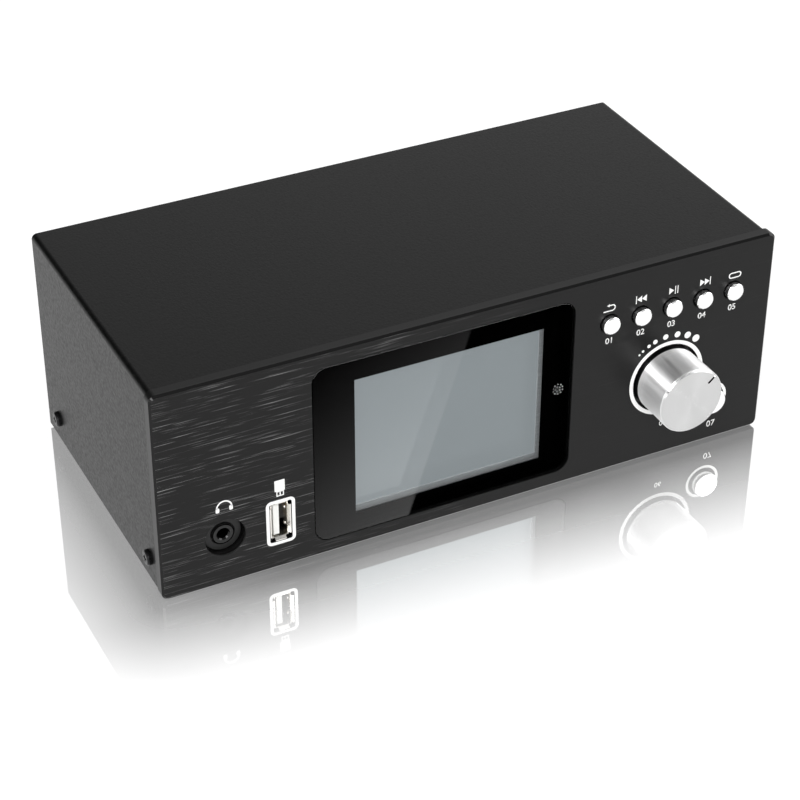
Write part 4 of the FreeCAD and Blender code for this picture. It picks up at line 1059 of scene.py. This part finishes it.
world = bpy.data.worlds.new("studio_air")
bpy.context.scene.world = world
world.use_nodes = True
air_background = world.node_tree.nodes["Background"]
air_background.inputs["Color"].default_value = (1.0, 1.0, 1.0, 1.0)
air_place = add_node(world, "ShaderNodeTexCoord")
air_way = add_node(world, "ShaderNodeSeparateXYZ")
link(world, air_place.outputs["Generated"], air_way.inputs["Vector"])
air_path = add_node(world, "ShaderNodeLightPath")

# The roll angle runs over the top from the right horizon to the left one. Behind the case the air
# gets darker along it, and before the case it is a row of cards: their angle and brightness.
air_dark = 0.05
air_on_matt = 0.55
air_far_front = 0.5
behind_bright_until = math.radians(36)
behind_dark_from = math.radians(111)
cards_lowest_y = -0.82
cards_full_y = -0.74
cards_full_z = 0.60
cards_highest_z = 0.65
front_until_y = -0.15
back_from_y = 0.15
right_over_left = combine(world, "ARCTAN2", air_way.outputs["Z"], air_way.outputs["X"])
air_behind = spread(world, right_over_left, 1.0, air_dark, behind_bright_until, behind_dark_from)
air_before = add_node(world, "ShaderNodeValToRGB")
link(world, spread(world, right_over_left, 0.0, 1.0, 0.0, math.pi), air_before.inputs["Fac"])
card_steps = ((0, 1.5), (12, 3.0), (36, 4.5), (60, 6.0), (75, 9.0), (110, 9.0), (113, 3.5), (118, 3.5),
              (121, 9.0), (154, 9.0), (157, 0.1), (163, 0.1), (168, 2.5), (179, 2.5))
card_ramp = air_before.color_ramp.elements
card_ramp.remove(card_ramp[1])
card_ramp[0].color = (card_steps[0][1],) * 3 + (1.0,)
for angle, brightness in card_steps[1:]:
    card_ramp.new(angle / 180).color = (brightness,) * 3 + (1.0,)
low_front = spread(world, air_way.outputs["Z"], 1.0, air_dark, cards_full_z, cards_highest_z)
cards_reach = spread(world, air_way.outputs["Y"], 0.0, 1.0, cards_lowest_y, cards_full_y)
air_before_near = choose_number(world, cards_reach, air_far_front, air_before.outputs["Color"])
air_before_low = combine(world, "MULTIPLY", air_before_near, low_front)
how_far_back = spread(world, air_way.outputs["Y"], 0.0, 1.0, front_until_y, back_from_y)
air_mirrored = choose_number(world, how_far_back, air_before_low, air_behind)
air_strength = choose_number(world, air_path.outputs["Is Glossy Ray"], air_on_matt, air_mirrored)
air_strength = choose_number(world, air_path.outputs["Is Singular Ray"], air_strength, 1.0)
air_open = combine(world, "MAXIMUM", air_path.outputs["Is Camera Ray"],
                   air_path.outputs["Is Transmission Ray"])
air_strength = choose_number(world, air_open, air_strength, 1.0)
link(world, air_strength, air_background.inputs["Strength"])


def soft_lamp(name, place, target, size, power):
    """A square area lamp at a place, aimed at a target, which polished pieces don't mirror."""
    deselect()
    bpy.ops.object.light_add(type="AREA", location=place)
    lamp = bpy.context.object
    lamp.name = name
    lamp.data.size = size
    lamp.data.energy = power
    lamp.rotation_euler = (Vector(target) - Vector(place)).to_track_quat("-Z", "Y").to_euler()
    lamp.visible_glossy = False


soft_lamp("key_lamp", (-0.55, -0.75, 1.15), (0.0, 0.0, 0.03), 0.9, 9.0)
soft_lamp("fill_lamp", (0.9, -0.5, 0.9), (0.0, 0.0, 0.03), 0.9, 3.0)
soft_lamp("front_lamp", (-0.15, -1.5, 0.55), (0.0, 0.0, 0.04), 1.0, 7.0)

# Camera
# Placed and turned where the photographer stood, with a long lens.
# Everything is in focus, and colours are shown without a film look.
camera_data = bpy.data.cameras.new("camera")
camera = bpy.data.objects.new("camera", camera_data)
bpy.context.scene.collection.objects.link(camera)
camera.location = (-0.282028, -0.562207, 0.438201)
camera.rotation_euler = (math.radians(55.912), math.radians(-0.064), math.radians(-26.375))
camera_data.lens = 102.18
camera_data.sensor_width = 36.0
camera_data.clip_start = 0.01
bpy.context.scene.camera = camera
bpy.context.scene.view_settings.view_transform = "Standard"
